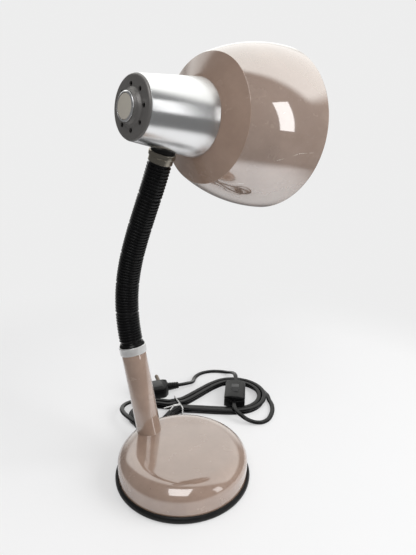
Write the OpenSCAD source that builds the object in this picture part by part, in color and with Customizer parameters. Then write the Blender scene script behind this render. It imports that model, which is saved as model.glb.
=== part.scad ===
// Desk lamp with a weighted base, a ribbed flexible neck and a spun metal shade.
// The origin is the centre of the underside, +Z is up and the light shines towards -Y.

/* [Base] */
// Outer diameter of the pressed base cover
cover_d = 122.5; // [110:0.5:140]
// Height of the base cover above the table
cover_h = 33.5; // [30:0.5:42]
// Height at which the cover's wall turns into its shoulder
wall_h = 18.5; // [15:0.5:22]
// Width of the cover's rounded shoulder
shoulder_w = 18; // [14:0.5:22]
// Rise of the crown inside the shoulder
crown_h = 1.5; // [0.5:0.1:3]
// Thickness of the cover's sheet steel
cover_t = 1.2; // [0.8:0.1:1.6]
// Outer diameter of the rubber edge ring
ring_d = 128; // [126:0.5:132]
// Height of the rubber edge ring
ring_h = 7; // [6:0.5:9]
// Width of the ring's inner lip
ring_lip = 2.4; // [1.5:0.1:4]
// Diameter of the cast weight
ballast_d = 100; // [96:1:104]
// Thickness of the base plate
plate_t = 1.2; // [0.8:0.1:2]
// Thickness of the felt pad
felt_t = 1.5; // [1:0.1:3]
// Angle of the stem's side of the base about the upright axis
base_turn = 15; // [0:1:30]

/* [Stem] */
// Outer diameter of the stem tube
stem_d = 23.6; // [20:0.2:25]
// Wall of the stem tube
stem_t = 1.2; // [0.8:0.1:1.6]
// Length of the stem tube above the base
stem_len = 79.6; // [50:0.1:120]
// Lean of the stem away from the base's middle
stem_lean = 12.5; // [8:0.5:16]
// Distance of the stem's foot from the base's middle
stem_foot_r = 42.3; // [40:0.1:44]
// Outer diameter of the bright bezel ring
bezel_d = 26; // [24:0.2:27]
// Height of the bezel ring
bezel_h = 7.7; // [5:0.1:12]
// Diameter of the threaded foot stud
stud_d = 10; // [9:0.5:11]

/* [Neck] */
// Bends of the neck's six lengths, from the bottom
neck_bends = [10.5, 12, 9, 4, 0.5, -3];
// Length of each of the neck's lengths
neck_len = 29.2; // [26:0.05:36]
// Outer diameter of the sleeve's ribs at the foot of the neck
rib_d = 22.2; // [20.4:0.2:23]
// Outer diameter of the sleeve's ribs at the top of the neck
rib_top_d = 20.2; // [20:0.1:21]
// Height of a rib over the sleeve
rib_h = 1; // [0.6:0.1:1.2]
// Ribs on each length of the neck
rib_count = 10; // [6:2:10]
// Width of a rib
rib_w = 1.4; // [1:0.1:1.6]
// Outer diameter of the steel conduit
core_d = 14.2; // [13.8:0.1:14.2]
// Bore of the conduit
core_bore = 6.8; // [5:0.2:7]
// Diameter of the ball on which one length turns on the next
ball_d = 11.2; // [10.6:0.1:11.6]
// Wall of the sleeve between its ribs at the top of the neck
sleeve_t = 1.1; // [0.9:0.1:1.1]
// Height of the sleeve's flared cuff
cuff_h = 3.2; // [2:0.1:5]
// Outer diameter of the sleeve's flared cuff
cuff_d = 24.2; // [23:0.1:25]

/* [Head] */
// Turn of the head on its swivel
head_turn = 75.5; // [30:0.5:120]
// Outer diameter of the housing at its rear
housing_back_d = 46.8; // [46:0.1:54]
// Outer diameter of the housing at its front
housing_front_d = 62.3; // [57:0.1:64]
// Length of the housing with its end cap
housing_len = 60.4; // [58:0.1:64]
// Wall of the housing
housing_t = 1.2; // [0.8:0.1:1.6]
// Distance of the swivel from the end cap's face
swivel_z = 38.6; // [37.5:0.1:40]
// Height of the ferrule
ferrule_h = 8.7; // [8.4:0.1:12]
// Diameter of the ferrule's upper rim
ferrule_d = 22.6; // [21:0.2:24]
// Diameter of the swivel nipple
nipple_d = 10; // [9:0.5:10]
// Diameter of the dark washer under the housing
saddle_d = 20; // [18:0.5:21]
// Thickness of the dark washer at its front edge
saddle_t = 0.3; // [0.3:0.1:1]
// Radius of the end cap's rounded edge
cap_round = 2; // [1.5:0.1:3.5]
// Number of vents in the end cap
vent_count = 8; // [4:1:10]
// Diameter of a vent
vent_d = 3.6; // [2:0.1:5]
// Radius of the circle of vents
vent_r = 16; // [15.6:0.1:17.5]
// Height of the end cap's raised boss
boss_h = 4.2; // [2:0.1:6]
// Diameter of the push button
button_d = 18.2; // [15:0.1:19]
// Travel of the push button
button_travel = 3; // [2:0.1:3.5]

/* [Shade] */
// Diameter of the shade's rim
rim_d = 142; // [130:0.5:150]
// Diameter of the crease between the shade's back and its bowl
crease_d = 103.5; // [90:0.5:110]
// Depth of the shade's conical back, from the housing's front
crease_z = 10.3; // [5:0.1:15]
// Depth of the shade's bowl, from the crease to the rim
bowl_len = 72; // [55:0.5:85]
// Radius of the bowl's curve
bowl_r = 168; // [115:1:400]
// Thickness of the shade's sheet
shade_t = 1; // [0.8:0.1:1.4]
// Diameter of the hole in the shade's back
shade_hole_d = 40.4; // [39:0.1:41]

/* [Lampholder] */
// Diameter of the lampholder's body
holder_d = 37.4; // [35:0.1:37.6]
// Diameter of the lampholder's threaded skirt
skirt_d = 39.6; // [38:0.1:39.8]
// Length of the threaded skirt in front of the shade's back
skirt_len = 12; // [9:0.5:14]
// Depth of the bulb behind the end of the skirt
bulb_sink = 36; // [35.4:0.1:36.6]
// Diameter of the bulb's globe
bulb_d = 45; // [40:0.5:50]
// Length of the bulb over its cap
bulb_len = 78; // [77:0.5:85]
// Diameter of the bulb's screw cap
bulb_cap_d = 26.2; // [25.5:0.1:26.4]

/* [Cord] */
// Width of the flat twin cord
cord_w = 5.4; // [4.8:0.1:5.6]
// Thickness of the flat twin cord
cord_t = 3.2; // [2.8:0.1:3.4]
// Height of the cord gland above the table
gland_z = 14; // [13.8:0.1:15]
// Length of the cord gland outside the cover
gland_out = 21; // [18:0.5:26]
// Diameter of the gland where it leaves the cover
gland_d = 9.6; // [8:0.2:11]
// Step between one turn of the hank and the next
hank_step = 6.2; // [6:0.1:6.6]
// Height of one layer of the hank over the other
hank_layer = 4; // [3.8:0.1:4.4]
// Length of the in-line switch
line_len = 44; // [40:1:46]
// Width of the in-line switch
line_w = 25; // [22:0.5:26]
// Height of the in-line switch
line_h = 16; // [15:0.5:18]
// Height of the cord's axis where it enters the in-line switch
line_axis = 9.6; // [9.4:0.1:11]
// Width of the plug across its pins
plug_w = 34; // [32:0.5:36]
// Height of the plug
plug_h = 16; // [14:0.5:18]
// Depth of the plug's body
plug_depth = 25; // [22:0.5:28]
// Diameter of a plug pin
pin_d = 4.8; // [4:0.1:5]
// Length of a plug pin
pin_len = 19; // [17:0.5:20]
// Distance between the plug's pins
pin_gap = 19; // [18:0.1:20]
// Wire of the hank's tie
tie_d = 1.6; // [1.2:0.1:2]

/* [Hidden] */

// Clearances: fit between still pieces, running fit, gap under a moving face
fit = 0.1;
run = 0.1;
slide_gap = 0.2;
seat = 0.05;

cover_r = cover_d / 2;
ring_r = ring_d / 2;
shoulder_x = cover_r - shoulder_w;
shoulder_h = cover_h - crown_h - wall_h;
cover_foot = 1.5;
plate_z = felt_t + plate_t;
plate_r = cover_r - cover_t - ring_lip;
ballast_r = ballast_d / 2;
ballast_gap = 0.3;
plate_screw_r = 2;
plate_screw_pcd = 62;
plate_screw_turn = 100;
plate_screw_count = 3;

stem_r = stem_d / 2;
stem_in = stem_r - stem_t;
stud_r = stud_d / 2;
stud_bore = 3.2;
stud_low = 24;
stud_high = 20;
pocket_r = 13;
pocket_z = 17;
nut_h = 5;
washer_t = 1.5;
nut_across = 17;
plug_high = 14;

// Gland: its angle on the base and its length inside the cover
gland_turn = -14;
gland_in = 9;
gland_flange_d = 13;
gland_tip_d = 7;
channel_w = 9;
channel_z = 17;

// Hank: the place of its tie, the direction of its long lobe, and the centreline of its inner edge
hank_at = [87, -62];
hank_turn = -107.5;
hank_loops = 3.5;
lobe_r = 27.4;
lobe_x = 73;
fold_r = 14.8;
waist_r = 30;
waist_gap = 1.6;
waist_lift = 2.2;
lift_reach = 30;
loop_rings = 24;
fold_x = sqrt(pow(waist_r + fold_r, 2) - pow(waist_r, 2));
fold_angle = acos(waist_r / (waist_r + fold_r));
lobe_angle = asin((waist_r + lobe_r) / norm([lobe_x, waist_r])) - atan2(waist_r, lobe_x);
cord_floor = cord_t / 2 + 0.1;
hank_first = 3;
hank_last = round(hank_loops * loop_rings);
hank_middle = hank_loops / 2;
straight = 6;

// In-line switch and plug in the hank's frame
line_at = [73, -1];
line_turn = 61.5;
plug_turn = -4.5;
relief = 14;
pocket = 4;
tail_end = [14.3, 42];
plug_seam = 2.6;
pin_root = 7;
crown_r = 22;
rocker_len = 18;
rocker_w = 9;
rocker_z = line_h - 3.6;
rocker_pin = 1.5;
rocker_tilt = 6;
plug_axis = plug_h / 2 + 0.3;

// Routes of the cord's free lengths between their fittings, in the hank's frame
lead_points = [[-63.8, -8.5, 13.2], [-65.5, 1.5, 11.8], [-65, 12, 10.3], [-61, 20.5, 8.8],
  [-54.5, 26.5, 7.4], [-47, 29, 6.4]];
link_points = [[109.5, -22, 1.7], [107.5, -31, 1.7], [103.5, -40, 1.7], [97, -49, 1.7],
  [87, -57.5, 1.7], [78, -59.8, 1.9], [69.5, -58, 3.2], [62.2, -53, 5.7], [57.6, -45.8, 8.4],
  [56, -37, 9.6]];
tail_points = [[92, 36.5, 9.6], [93.5, 47, 7], [90.5, 57, 3.4], [84, 65, 1.8], [74.5, 69.5, 1.7],
  [64.5, 71, 1.7], [56.5, 69.8, 1.7], [49.5, 66.3, 1.7], [43.8, 60.6, 2], [38.2, 51.4, 3.7],
  [33.4, 46.3, 5.6], [27.3, 43, 7.5]];

// Neck: the planes on both sides of a joint
joint_bend = 12;
joint_gap = 0.2;
sleeve_above = 0.3;
socket_gap = 0.3;
ball_r = ball_d / 2;
core_r = core_d / 2;
joint_below = rib_d / 2 * tan(joint_bend) + joint_gap - sleeve_above;
core_below = core_r * (tan(joint_bend) + 2 * tan(max(neck_bends) / 2)) + joint_gap;
sleeve_in = rib_top_d / 2 - rib_h - sleeve_t;
neck_z = stem_len + bezel_h + cuff_h + joint_below;
section_count = len(neck_bends);
filler_h = 0.15;

// Radius of the ribs at the neck's joint k, and halfway between two joints
function rib_r(k) = (rib_d + (rib_top_d - rib_d) * k / section_count) / 2;

// Head: the taper of the housing, and the height of each layer over the top joint
taper = (housing_front_d - housing_back_d) / 2 / housing_len;
swivel_r = housing_back_d / 2 + taper * swivel_z;
ferrule_top = sleeve_above + ferrule_h;
saddle_z = ferrule_top + slide_gap;
axis_h = saddle_z + saddle_t + taper * saddle_d / 2 + swivel_r;
cap_t = 1.2;
skirt_h = 5;
vent_turn = 21.5;
switch_len = 11;
lug_len = 5;
lock_across = 14;
spring_d = 16.8;
bracket_w = 14;
bracket_t = 1.5;
bracket_drop = 10.6;
bracket_z = swivel_z - bracket_drop;
bracket_in = housing_back_d / 2 + taper * bracket_z - housing_t;
bracket_x = sqrt(pow(bracket_in, 2) - pow(bracket_w / 2, 2)) - fit;
washer_x = bracket_x - bracket_t - fit;
spring_t = 0.6;
nut_x = washer_x - spring_t;
lock_h = 2.8;
nipple_x = nut_x - lock_h - 0.3;

holder_z = bracket_z + bracket_t + seat;
flange_z = housing_len - 2.6;
shade_z = housing_len + seat;
shell_r = bulb_cap_d / 2 + 0.2;
shell_t = 0.5;
contact_h = 2.4;
bulb_z = housing_len + skirt_len - bulb_sink;
floor_z = bulb_z - contact_h - seat;

crease_r = crease_d / 2;
rim_r = rim_d / 2;
rim_z = housing_len + crease_z + bowl_len;
bead_r = 1.3;

// Rounds a profile: points on a quarter ellipse about a centre
function quarter(cx, cy, rx, ry, from, to, steps) =
  [for (i = [0:steps]) let (a = from + (to - from) * i / steps) [cx + rx * cos(a), cy + ry * sin(a)]];

// Outline of the base cover, drawn in by t
function dome_outline(t, foot) = concat(
  [[0, foot], [cover_r - t, foot]],
  quarter(shoulder_x, wall_h, shoulder_w - t, shoulder_h - t, 0, 90, 9),
  [for (i = [1:5]) let (x = shoulder_x * (1 - i / 5))
    [x, cover_h - t - crown_h * pow(x / shoulder_x, 2)]]);

module dome_solid(t, foot) {
  rotate_extrude($fn = 144) polygon(dome_outline(t, foot));
}

module ring_of(r_out, r_in, h, fn = 72) {
  difference() {
    cylinder(r = r_out, h = h, $fn = fn);
    translate([0, 0, -1]) cylinder(r = r_in, h = h + 2, $fn = fn);
  }
}

module base_frame() {
  rotate([0, 0, base_turn]) children();
}

module stem_frame() {
  base_frame() translate([stem_foot_r, 0, cover_h - 0.5]) rotate([0, stem_lean, 0]) children();
}

module gland_frame() {
  base_frame() rotate([0, 0, gland_turn]) translate([0, 0, gland_z]) rotate([0, 90, 0]) children();
}

// Turns about the middle of the plate's screws
module plate_screw_places() {
  for (i = [0:plate_screw_count - 1])
    rotate([0, 0, plate_screw_turn + 360 / plate_screw_count * i])
      translate([plate_screw_pcd / 2, 0, 0]) children();
}

// Frame at the end of an arc of the given length and bend
module arc_end(bend, len) {
  r = len / (bend * PI / 180);
  translate([-r * (1 - cos(bend)), 0, r * sin(bend)]) rotate([0, -bend, 0]) children();
}

// Straight line across an arc: its length
function chord(bend, len) = 2 * len / (bend * PI / 180) * sin(bend / 2);

// Frame of the neck's joint k, counted from the stem
module joint_frame(k) {
  if (k == 0) {
    stem_frame() translate([0, 0, neck_z]) children();
  } else {
    joint_frame(k - 1) arc_end(neck_bends[k - 1], neck_len) children();
  }
}

// Frame of the head: +Z forward along the lamp, +X away from the neck
module head_frame() {
  joint_frame(section_count) translate([0, 0, axis_h]) rotate([0, 0, head_turn])
    rotate([0, -90, 0]) translate([0, 0, -swivel_z]) children();
}

module edge_ring() {
  lip_r = cover_r - cover_t - ring_lip;
  color([0.07, 0.07, 0.07]) rotate_extrude($fn = 144) difference() {
    polygon(concat(
      [[lip_r, 0], [cover_r, 0]],
      quarter(cover_r, ring_h / 2, ring_r - cover_r, ring_h / 2, -90, 90, 10),
      [[cover_r - cover_t - 0.8, ring_h], [lip_r, ring_h - 2.5]]));
    translate([cover_r - cover_t - seat, cover_foot]) square([cover_t + 2 * seat, ring_h]);
  }
}

module base_cover() {
  color([0.58, 0.50, 0.45]) difference() {
    dome_solid(0, cover_foot);
    dome_solid(cover_t, cover_foot - 1);
    stem_frame() translate([0, 0, -stud_low]) cylinder(r = stud_r + fit, h = 60, $fn = 48);
    gland_frame() translate([0, 0, cover_r - 8]) cylinder(r = gland_d / 2 + fit, h = 16, $fn = 48);
  }
}

module ballast() {
  color([0.25, 0.25, 0.26]) difference() {
    intersection() {
      dome_solid(cover_t + ballast_gap, plate_z + seat);
      cylinder(r = ballast_r, h = cover_h, $fn = 96);
    }
    stem_frame() translate([0, 0, -cover_h - 5]) cylinder(r = stud_r + fit, h = 60, $fn = 48);
    stem_frame() translate([0, 0, -cover_h - 5])
      cylinder(r = pocket_r, h = cover_h + 5 - pocket_z, $fn = 48);
    base_frame() rotate([0, 0, gland_turn]) {
      translate([30, -channel_w / 2, 0]) cube([30, channel_w, channel_z]);
    }
    base_frame() plate_screw_places() cylinder(r = plate_screw_r + fit, h = 14, $fn = 24);
  }
}

module base_plate() {
  color([0.55, 0.55, 0.56]) difference() {
    translate([0, 0, felt_t]) cylinder(r = plate_r - fit, h = plate_t, $fn = 144);
    base_frame() plate_screw_places() translate([0, 0, felt_t - 1]) {
      cylinder(r = plate_screw_r + fit, h = 5, $fn = 24);
      cylinder(r = 3.9, h = 1.6, $fn = 24);
    }
  }
}

module felt_pad() {
  color([0.16, 0.17, 0.16]) cylinder(r = plate_r - fit, h = felt_t, $fn = 144);
}

module plate_screws() {
  color([0.7, 0.7, 0.72]) base_frame() plate_screw_places() translate([0, 0, felt_t]) {
    cylinder(r = 3.7, h = 0.55, $fn = 24);
    cylinder(r = plate_screw_r, h = 10, $fn = 24);
  }
}

module foot_plug() {
  color([0.62, 0.62, 0.64]) difference() {
    stem_frame() translate([0, 0, -12]) cylinder(r = stem_in - fit, h = 12 + plug_high, $fn = 72);
    dome_solid(0, cover_foot);
    stem_frame() translate([0, 0, -20]) cylinder(r = stud_r + seat, h = 60, $fn = 48);
  }
}

module foot_stud() {
  color([0.72, 0.66, 0.42]) stem_frame() translate([0, 0, -stud_low])
    ring_of(stud_r, stud_bore, stud_low + stud_high, 48);
}

module foot_washer() {
  color([0.7, 0.7, 0.72]) stem_frame() translate([0, 0, -pocket_z - washer_t - seat])
    ring_of(pocket_r - 2, stud_r + fit, washer_t, 48);
}

module hex_nut(across, hole_r, h) {
  difference() {
    cylinder(r = across / 2 / cos(30), h = h, $fn = 6);
    translate([0, 0, -1]) cylinder(r = hole_r, h = h + 2, $fn = 48);
  }
}

module foot_nut() {
  color([0.72, 0.66, 0.42]) stem_frame()
    translate([0, 0, -pocket_z - washer_t - nut_h - 2 * seat]) hex_nut(nut_across, stud_r + seat, nut_h);
}

module cord_gland() {
  out = cover_r + gland_out;
  color([0.06, 0.06, 0.06]) gland_frame() difference() {
    rotate_extrude($fn = 48) polygon([
      [0, cover_r - cover_t - gland_in], [gland_tip_d / 2, cover_r - cover_t - gland_in],
      [gland_flange_d / 2, cover_r - cover_t - 3.2], [gland_flange_d / 2, cover_r - cover_t - 0.6],
      [gland_d / 2, cover_r - cover_t - 0.6], [gland_d / 2, cover_r + 0.4],
      [gland_d / 2 + 0.8, cover_r + 0.6], [gland_d / 2 + 0.8, cover_r + 2.2],
      [gland_tip_d / 2, out], [0, out]]);
    translate([0, 0, out - 4]) cord_prism(5);
    translate([0, 0, cover_r - cover_t - gland_in - 1]) cord_prism(5);
  }
}

// Space that the flat cord takes in a gland or plug
module cord_prism(h) {
  linear_extrude(h) square([cord_t + 2 * fit, cord_w + 2 * fit], center = true);
}

// Point of the hank's inner edge at ring i, counted from the right end, and its outward direction
function edge_at(i) =
  i > loop_rings / 2
  ? let (e = edge_at(loop_rings - i)) [[e[0][0], -e[0][1]], [e[1][0], -e[1][1]]]
  : i <= 4
  ? let (a = (90 + lobe_angle) * i / 4) [[lobe_x, 0] + lobe_r * [cos(a), sin(a)], [cos(a), sin(a)]]
  : i <= 8
  ? let (a = i <= 6 ? -lobe_angle * (6 - i) : fold_angle * (i - 6) / 2, n = [sin(a), cos(a)])
    [[0, waist_r] - waist_r * n, n]
  : let (a = 90 - fold_angle + (90 + fold_angle) * (i - 8) / 4)
    [[-fold_x, 0] + fold_r * [cos(a), sin(a)], [cos(a), sin(a)]];

// Ring i of the hank, counted from the left end: the loops spiral in on top and out below
function hank_at_ring(i) =
  let (turns = i / loop_rings,
    e = edge_at((loop_rings * 10.5 - i) % loop_rings),
    out = waist_gap + hank_step * abs(hank_middle - turns),
    drop = min(max((turns - hank_middle + 0.25) * 2, 0), 1),
    q = e[0] + e[1] * out)
  [q[0], q[1], cord_floor + hank_layer * (1 - drop)
    + waist_lift * pow(max(0, 1 - abs(q[0]) / lift_reach), 2)];

hank_rings = [for (i = [hank_first:hank_last]) hank_at_ring(i)];

// Direction square to the hank's edge at ring i, along the cord
function along_at(i) = let (n = edge_at((loop_rings * 10.5 - i) % loop_rings)[1]) [n[1], -n[0], 0];

hank_start = hank_rings[0] - straight * along_at(hank_first);
hank_end = hank_rings[len(hank_rings) - 1] + straight * along_at(hank_last);
hank_path = concat([hank_start], hank_rings, [hank_end]);

// The gland's tip and direction, in the hank's frame
gland_angle = base_turn + gland_turn;
gland_dir = [cos(gland_angle - hank_turn), sin(gland_angle - hank_turn), 0];
function to_hank(p) = let (d = [p[0] - hank_at[0], p[1] - hank_at[1]])
  [d[0] * cos(hank_turn) + d[1] * sin(hank_turn), d[1] * cos(hank_turn) - d[0] * sin(hank_turn), p[2]];
gland_tip = to_hank([(cover_r + gland_out) * cos(gland_angle), (cover_r + gland_out) * sin(gland_angle),
  gland_z]);

line_dir = [cos(line_turn), sin(line_turn), 0];
line_middle = [line_at[0], line_at[1], line_axis];
line_near = line_middle - line_dir * line_len / 2;
line_far = line_middle + line_dir * line_len / 2;
plug_dir = [cos(plug_turn), sin(plug_turn), 0];
plug_mouth = [tail_end[0], tail_end[1], plug_axis];

lead_path = concat([gland_tip - gland_dir * (pocket - seat), gland_tip + gland_dir * straight],
  lead_points, [hank_start - straight * along_at(hank_first), hank_start - seat * along_at(hank_first)]);
link_path = concat([hank_end + seat * along_at(hank_last), hank_end + straight * along_at(hank_last)], link_points,
  [line_near - line_dir * straight, line_near + line_dir * (pocket - seat)]);
tail_path = concat([line_far - line_dir * (pocket - seat), line_far + line_dir * straight],
  tail_points, [plug_mouth + plug_dir * straight, plug_mouth - plug_dir * (pocket - seat)]);

// Sweeps the flat cord along a path as one closed solid with the given number of sides
module flat_cord(path, sides) {
  last = len(path) - 1;
  function ahead(i) = path[min(i + 1, last)] - path[max(i - 1, 0)];
  function across(i) = let (d = ahead(i), n = [-d[1], d[0], 0]) n / norm(n);
  function upward(i) = let (c = cross(ahead(i), across(i))) c / norm(c);
  points = [for (i = [0:last], k = [0:sides - 1]) let (a = 360 / sides * (k + 0.5))
    path[i] + across(i) * cord_w / 2 * cos(a) / cos(180 / sides)
      + upward(i) * cord_t / 2 * sin(a) / (sides == 6 ? 1 : cos(180 / sides))];
  walls = [for (i = [0:last - 1], k = [0:sides - 1])
    let (a = i * sides + k, b = i * sides + (k + 1) % sides)
    each [[a, b + sides, b], [a, a + sides, b + sides]]];
  ends = [for (k = [1:sides - 2]) each [[0, k, k + 1],
    [last * sides, last * sides + k + 1, last * sides + k]]];
  polyhedron(points, concat(walls, ends));
}

module hank_frame() {
  translate([hank_at[0], hank_at[1], 0]) rotate([0, 0, hank_turn]) children();
}

module cord_lead() {
  color([0.06, 0.06, 0.06]) hank_frame() flat_cord(lead_path, 8);
}

module cord_hank() {
  color([0.06, 0.06, 0.06]) hank_frame() flat_cord(hank_path, 6);
}

module cord_link() {
  color([0.06, 0.06, 0.06]) hank_frame() flat_cord(link_path, 8);
}

module cord_tail() {
  color([0.06, 0.06, 0.06]) hank_frame() flat_cord(tail_path, 8);
}

// Least gap of the hank to itself, from the places of its centreline as an ellipse of the cord's section
hank_steps = [for (i = [0:len(hank_path) - 2], k = [0:2]) hank_path[i] + (hank_path[i + 1] - hank_path[i]) * k / 3];
function clear_of(p, q) =
  let (d = q - p, across = norm([d[0], d[1]]))
  norm(d) * (1 - 1 / norm([across / cord_w, d[2] / cord_t]));
hank_gap = min([for (i = [0:len(hank_steps) - 1], j = [i + loop_rings:len(hank_steps) - 1])
  clear_of(hank_steps[i], hank_steps[j])]);
echo(least_gap_of_the_hank_to_itself = hank_gap);

// Rod between two points
module rod(p, q, r) {
  d = q - p;
  translate(p) rotate([0, acos(d[2] / norm(d)), atan2(d[1], d[0])])
    cylinder(r = r, h = norm(d), $fn = 24);
}

module hank_tie() {
  r = tie_d / 2;
  side = tie_d / 2 + 0.5;
  low = r + 0.1;
  high = cord_floor + waist_lift + hank_layer + cord_t / 2 + side;
  front = -waist_gap - hank_step - cord_w / 2 - side;
  back = waist_gap + hank_step * 1.5 + cord_w / 2 + side;
  color([0.8, 0.8, 0.8]) hank_frame() {
    for (v = [front, back])
      translate([0, v, low]) cylinder(r = r, h = high - low, $fn = 24);
    for (z = [low, high]) {
      translate([0, front, z]) rotate([-90, 0, 0]) cylinder(r = r, h = back - front, $fn = 24);
      for (v = [front, back])
        translate([0, v, z]) sphere(r = r, $fn = 24);
    }
    rod([0, -4, high], [-9, -6, high + 1.5], r * 1.4);
    rod([-8.5, -5.9, high + 1.4], [-20, -4, high - 0.5], r * 0.9);
    rod([-8.5, -5.9, high + 1.4], [-15, -11, high], r * 0.9);
  }
}

module line_frame() {
  hank_frame() translate([line_at[0], line_at[1], 0]) rotate([0, 0, line_turn]) children();
}

module line_plan() {
  intersection() {
    circle(r = line_len / 2, $fn = 96);
    square([line_len, line_w], center = true);
  }
}

// Room for the cord in both ends of the in-line switch
module line_pockets() {
  for (side = [-1, 1])
    translate([side * line_len / 2, 0, line_axis])
      cube([2 * pocket, cord_w + 2 * fit, cord_t + 2 * fit], center = true);
}

module line_switch_base() {
  color([0.07, 0.07, 0.07]) line_frame() difference() {
    translate([0, 0, 0.3]) linear_extrude(line_axis - 0.3 - seat) line_plan();
    line_pockets();
  }
}

module line_switch_cover() {
  color([0.08, 0.08, 0.08]) line_frame() difference() {
    intersection() {
      translate([0, 0, line_axis]) linear_extrude(line_h - line_axis) line_plan();
      translate([-line_len, 0, line_h - crown_r]) rotate([0, 90, 0])
        cylinder(r = crown_r, h = 2 * line_len, $fn = 96);
    }
    line_pockets();
    translate([-rocker_len / 2 - 0.6, -rocker_w / 2 - slide_gap, line_axis - 1])
      cube([rocker_len + 1.2, rocker_w + 2 * slide_gap, line_h]);
    translate([0, -rocker_w / 2 - 3, rocker_z]) rotate([-90, 0, 0])
      cylinder(r = rocker_pin + run, h = rocker_w + 6, $fn = 32);
  }
}

module rocker_frame() {
  line_frame() translate([0, 0, rocker_z]) rotate([0, -rocker_tilt, 0]) children();
}

module line_switch_rocker() {
  half = rocker_len / 2;
  color([0.1, 0.1, 0.1]) rocker_frame() {
    rotate([90, 0, 0]) translate([0, 0, -rocker_w / 2]) linear_extrude(rocker_w)
      polygon([[-half, -1], [half, -1], [half, 2.2], [0, 4.2], [-half, 2.2]]);
    translate([0, -rocker_w / 2 - 2.5, 0]) rotate([-90, 0, 0])
      cylinder(r = rocker_pin, h = rocker_w + 5, $fn = 32);
  }
}

// Plug: x towards the cord, y along the pins
module plug_frame() {
  hank_frame() translate(plug_mouth) rotate([0, 0, plug_turn]) children();
}

module plug_block(low, high) {
  translate([-relief - plug_w / 2, 0, low]) linear_extrude(high - low) intersection() {
    circle(r = norm([plug_w, plug_depth]) / 2 - 1.6, $fn = 96);
    square([plug_w, plug_depth], center = true);
  }
}

module plug_body() {
  color([0.06, 0.06, 0.06]) plug_frame() difference() {
    union() {
      plug_block(-plug_h / 2, plug_seam);
      translate([-relief - 1, 0, 0]) rotate([0, 90, 0])
        cylinder(r1 = 5, r2 = 3.8, h = relief + 1, $fn = 48);
    }
    translate([-pocket, -cord_w / 2 - fit, -cord_t / 2 - fit])
      cube([2 * pocket, cord_w + 2 * fit, cord_t + 2 * fit]);
    plug_pin_places() translate([0, plug_depth / 2 - pin_root, 0]) rotate([-90, 0, 0])
      cylinder(r = pin_d / 2 + seat, h = 2 * pin_root, $fn = 32);
    translate([-relief - plug_w, -plug_depth, plug_seam - seat])
      cube([plug_w, 2 * plug_depth, plug_h]);
  }
}

module plug_cover() {
  color([0.1, 0.1, 0.1]) plug_frame() difference() {
    intersection() {
      plug_block(plug_seam, plug_h / 2);
      translate([-relief - 2 * plug_w, 0, plug_h / 2 - crown_r]) rotate([0, 90, 0])
        cylinder(r = crown_r, h = 3 * plug_w, $fn = 96);
    }
    translate([-relief - 1, 0, 0]) rotate([0, 90, 0]) cylinder(r = 5 + seat, h = relief, $fn = 48);
  }
}

module plug_pin_places() {
  for (x = [-pin_gap / 2, pin_gap / 2])
    translate([-relief - plug_w / 2 + x, 0, 0]) children();
}

module plug_pins() {
  r = pin_d / 2;
  color([0.72, 0.6, 0.35]) plug_frame() plug_pin_places()
    translate([0, plug_depth / 2 - pin_root, 0]) rotate([-90, 0, 0]) rotate_extrude($fn = 32)
      polygon([[0, 0], [r, 0], [r, pin_root + pin_len - r],
        for (a = [30, 60]) [r * cos(a), pin_root + pin_len - r + r * sin(a)], [0, pin_root + pin_len]]);
}

module stem_tube() {
  color([0.58, 0.50, 0.45]) difference() {
    stem_frame() translate([0, 0, -14]) ring_of(stem_r, stem_in, stem_len + 14, 72);
    dome_solid(0, cover_foot);
  }
}

// Outline of a ball about the height h, from its neck to its bore
function ball_outline(h) =
  let (low = -asin(core_below / ball_r), high = acos(core_bore / 2 / ball_r))
  [for (i = [0:9]) let (a = low + (high - low) * i / 9) [ball_r * cos(a), h + ball_r * sin(a)]];

// Outline of the socket about the origin, from its bore to its mouth
function socket_outline() =
  let (r = ball_r + socket_gap, high = acos(core_bore / 2 / r))
  [for (i = [0:8]) let (a = high * (1 - i / 8)) [r * cos(a), r * sin(a)]];

module neck_foot() {
  low = stem_len - 15;
  color([0.62, 0.62, 0.64]) stem_frame() rotate_extrude($fn = 72) polygon(concat(
    [[core_bore / 2, low], [stem_in - fit, low], [stem_in - fit, stem_len],
      [core_r, stem_len], [core_r, neck_z - core_below]],
    ball_outline(neck_z)));
}

module bezel_ring() {
  color([0.86, 0.86, 0.86]) stem_frame() translate([0, 0, stem_len]) rotate_extrude($fn = 96)
    polygon([[core_r + fit, 0], [bezel_d / 2 - 0.5, 0], [bezel_d / 2 - 0.2, 0.5],
      [bezel_d / 2 - 0.2, bezel_h - 1.6], [bezel_d / 2, bezel_h - 1.3],
      [bezel_d / 2, bezel_h - 0.4], [bezel_d / 2 - 0.4, bezel_h], [core_r + fit, bezel_h]]);
}

module neck_cuff() {
  top = stem_len + bezel_h;
  color([0.06, 0.06, 0.06]) stem_frame() rotate_extrude($fn = 96)
    polygon([[core_r + fit, top + seat], [cuff_d / 2, top + seat], [cuff_d / 2, top + 0.8],
      [rib_d / 2, top + cuff_h], [core_r + fit, top + cuff_h]]);
}

// One length of the conduit, with a socket below and a ball above
module neck_core(k) {
  bend = neck_bends[k - 1];
  c = chord(bend, neck_len);
  color([0.45, 0.45, 0.47]) joint_frame(k - 1) rotate([0, -bend / 2, 0])
    rotate_extrude($fn = 72) polygon(concat(
      socket_outline(), [[core_r, 0], [core_r, c - core_below]], ball_outline(c)));
}

// Outline of a rib of radius r about the height h
function rib_outline(h, r) = [[r - rib_h, h - rib_w / 2], [r, h - rib_w / 4],
  [r, h + rib_w / 4], [r - rib_h, h + rib_w / 2]];

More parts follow.
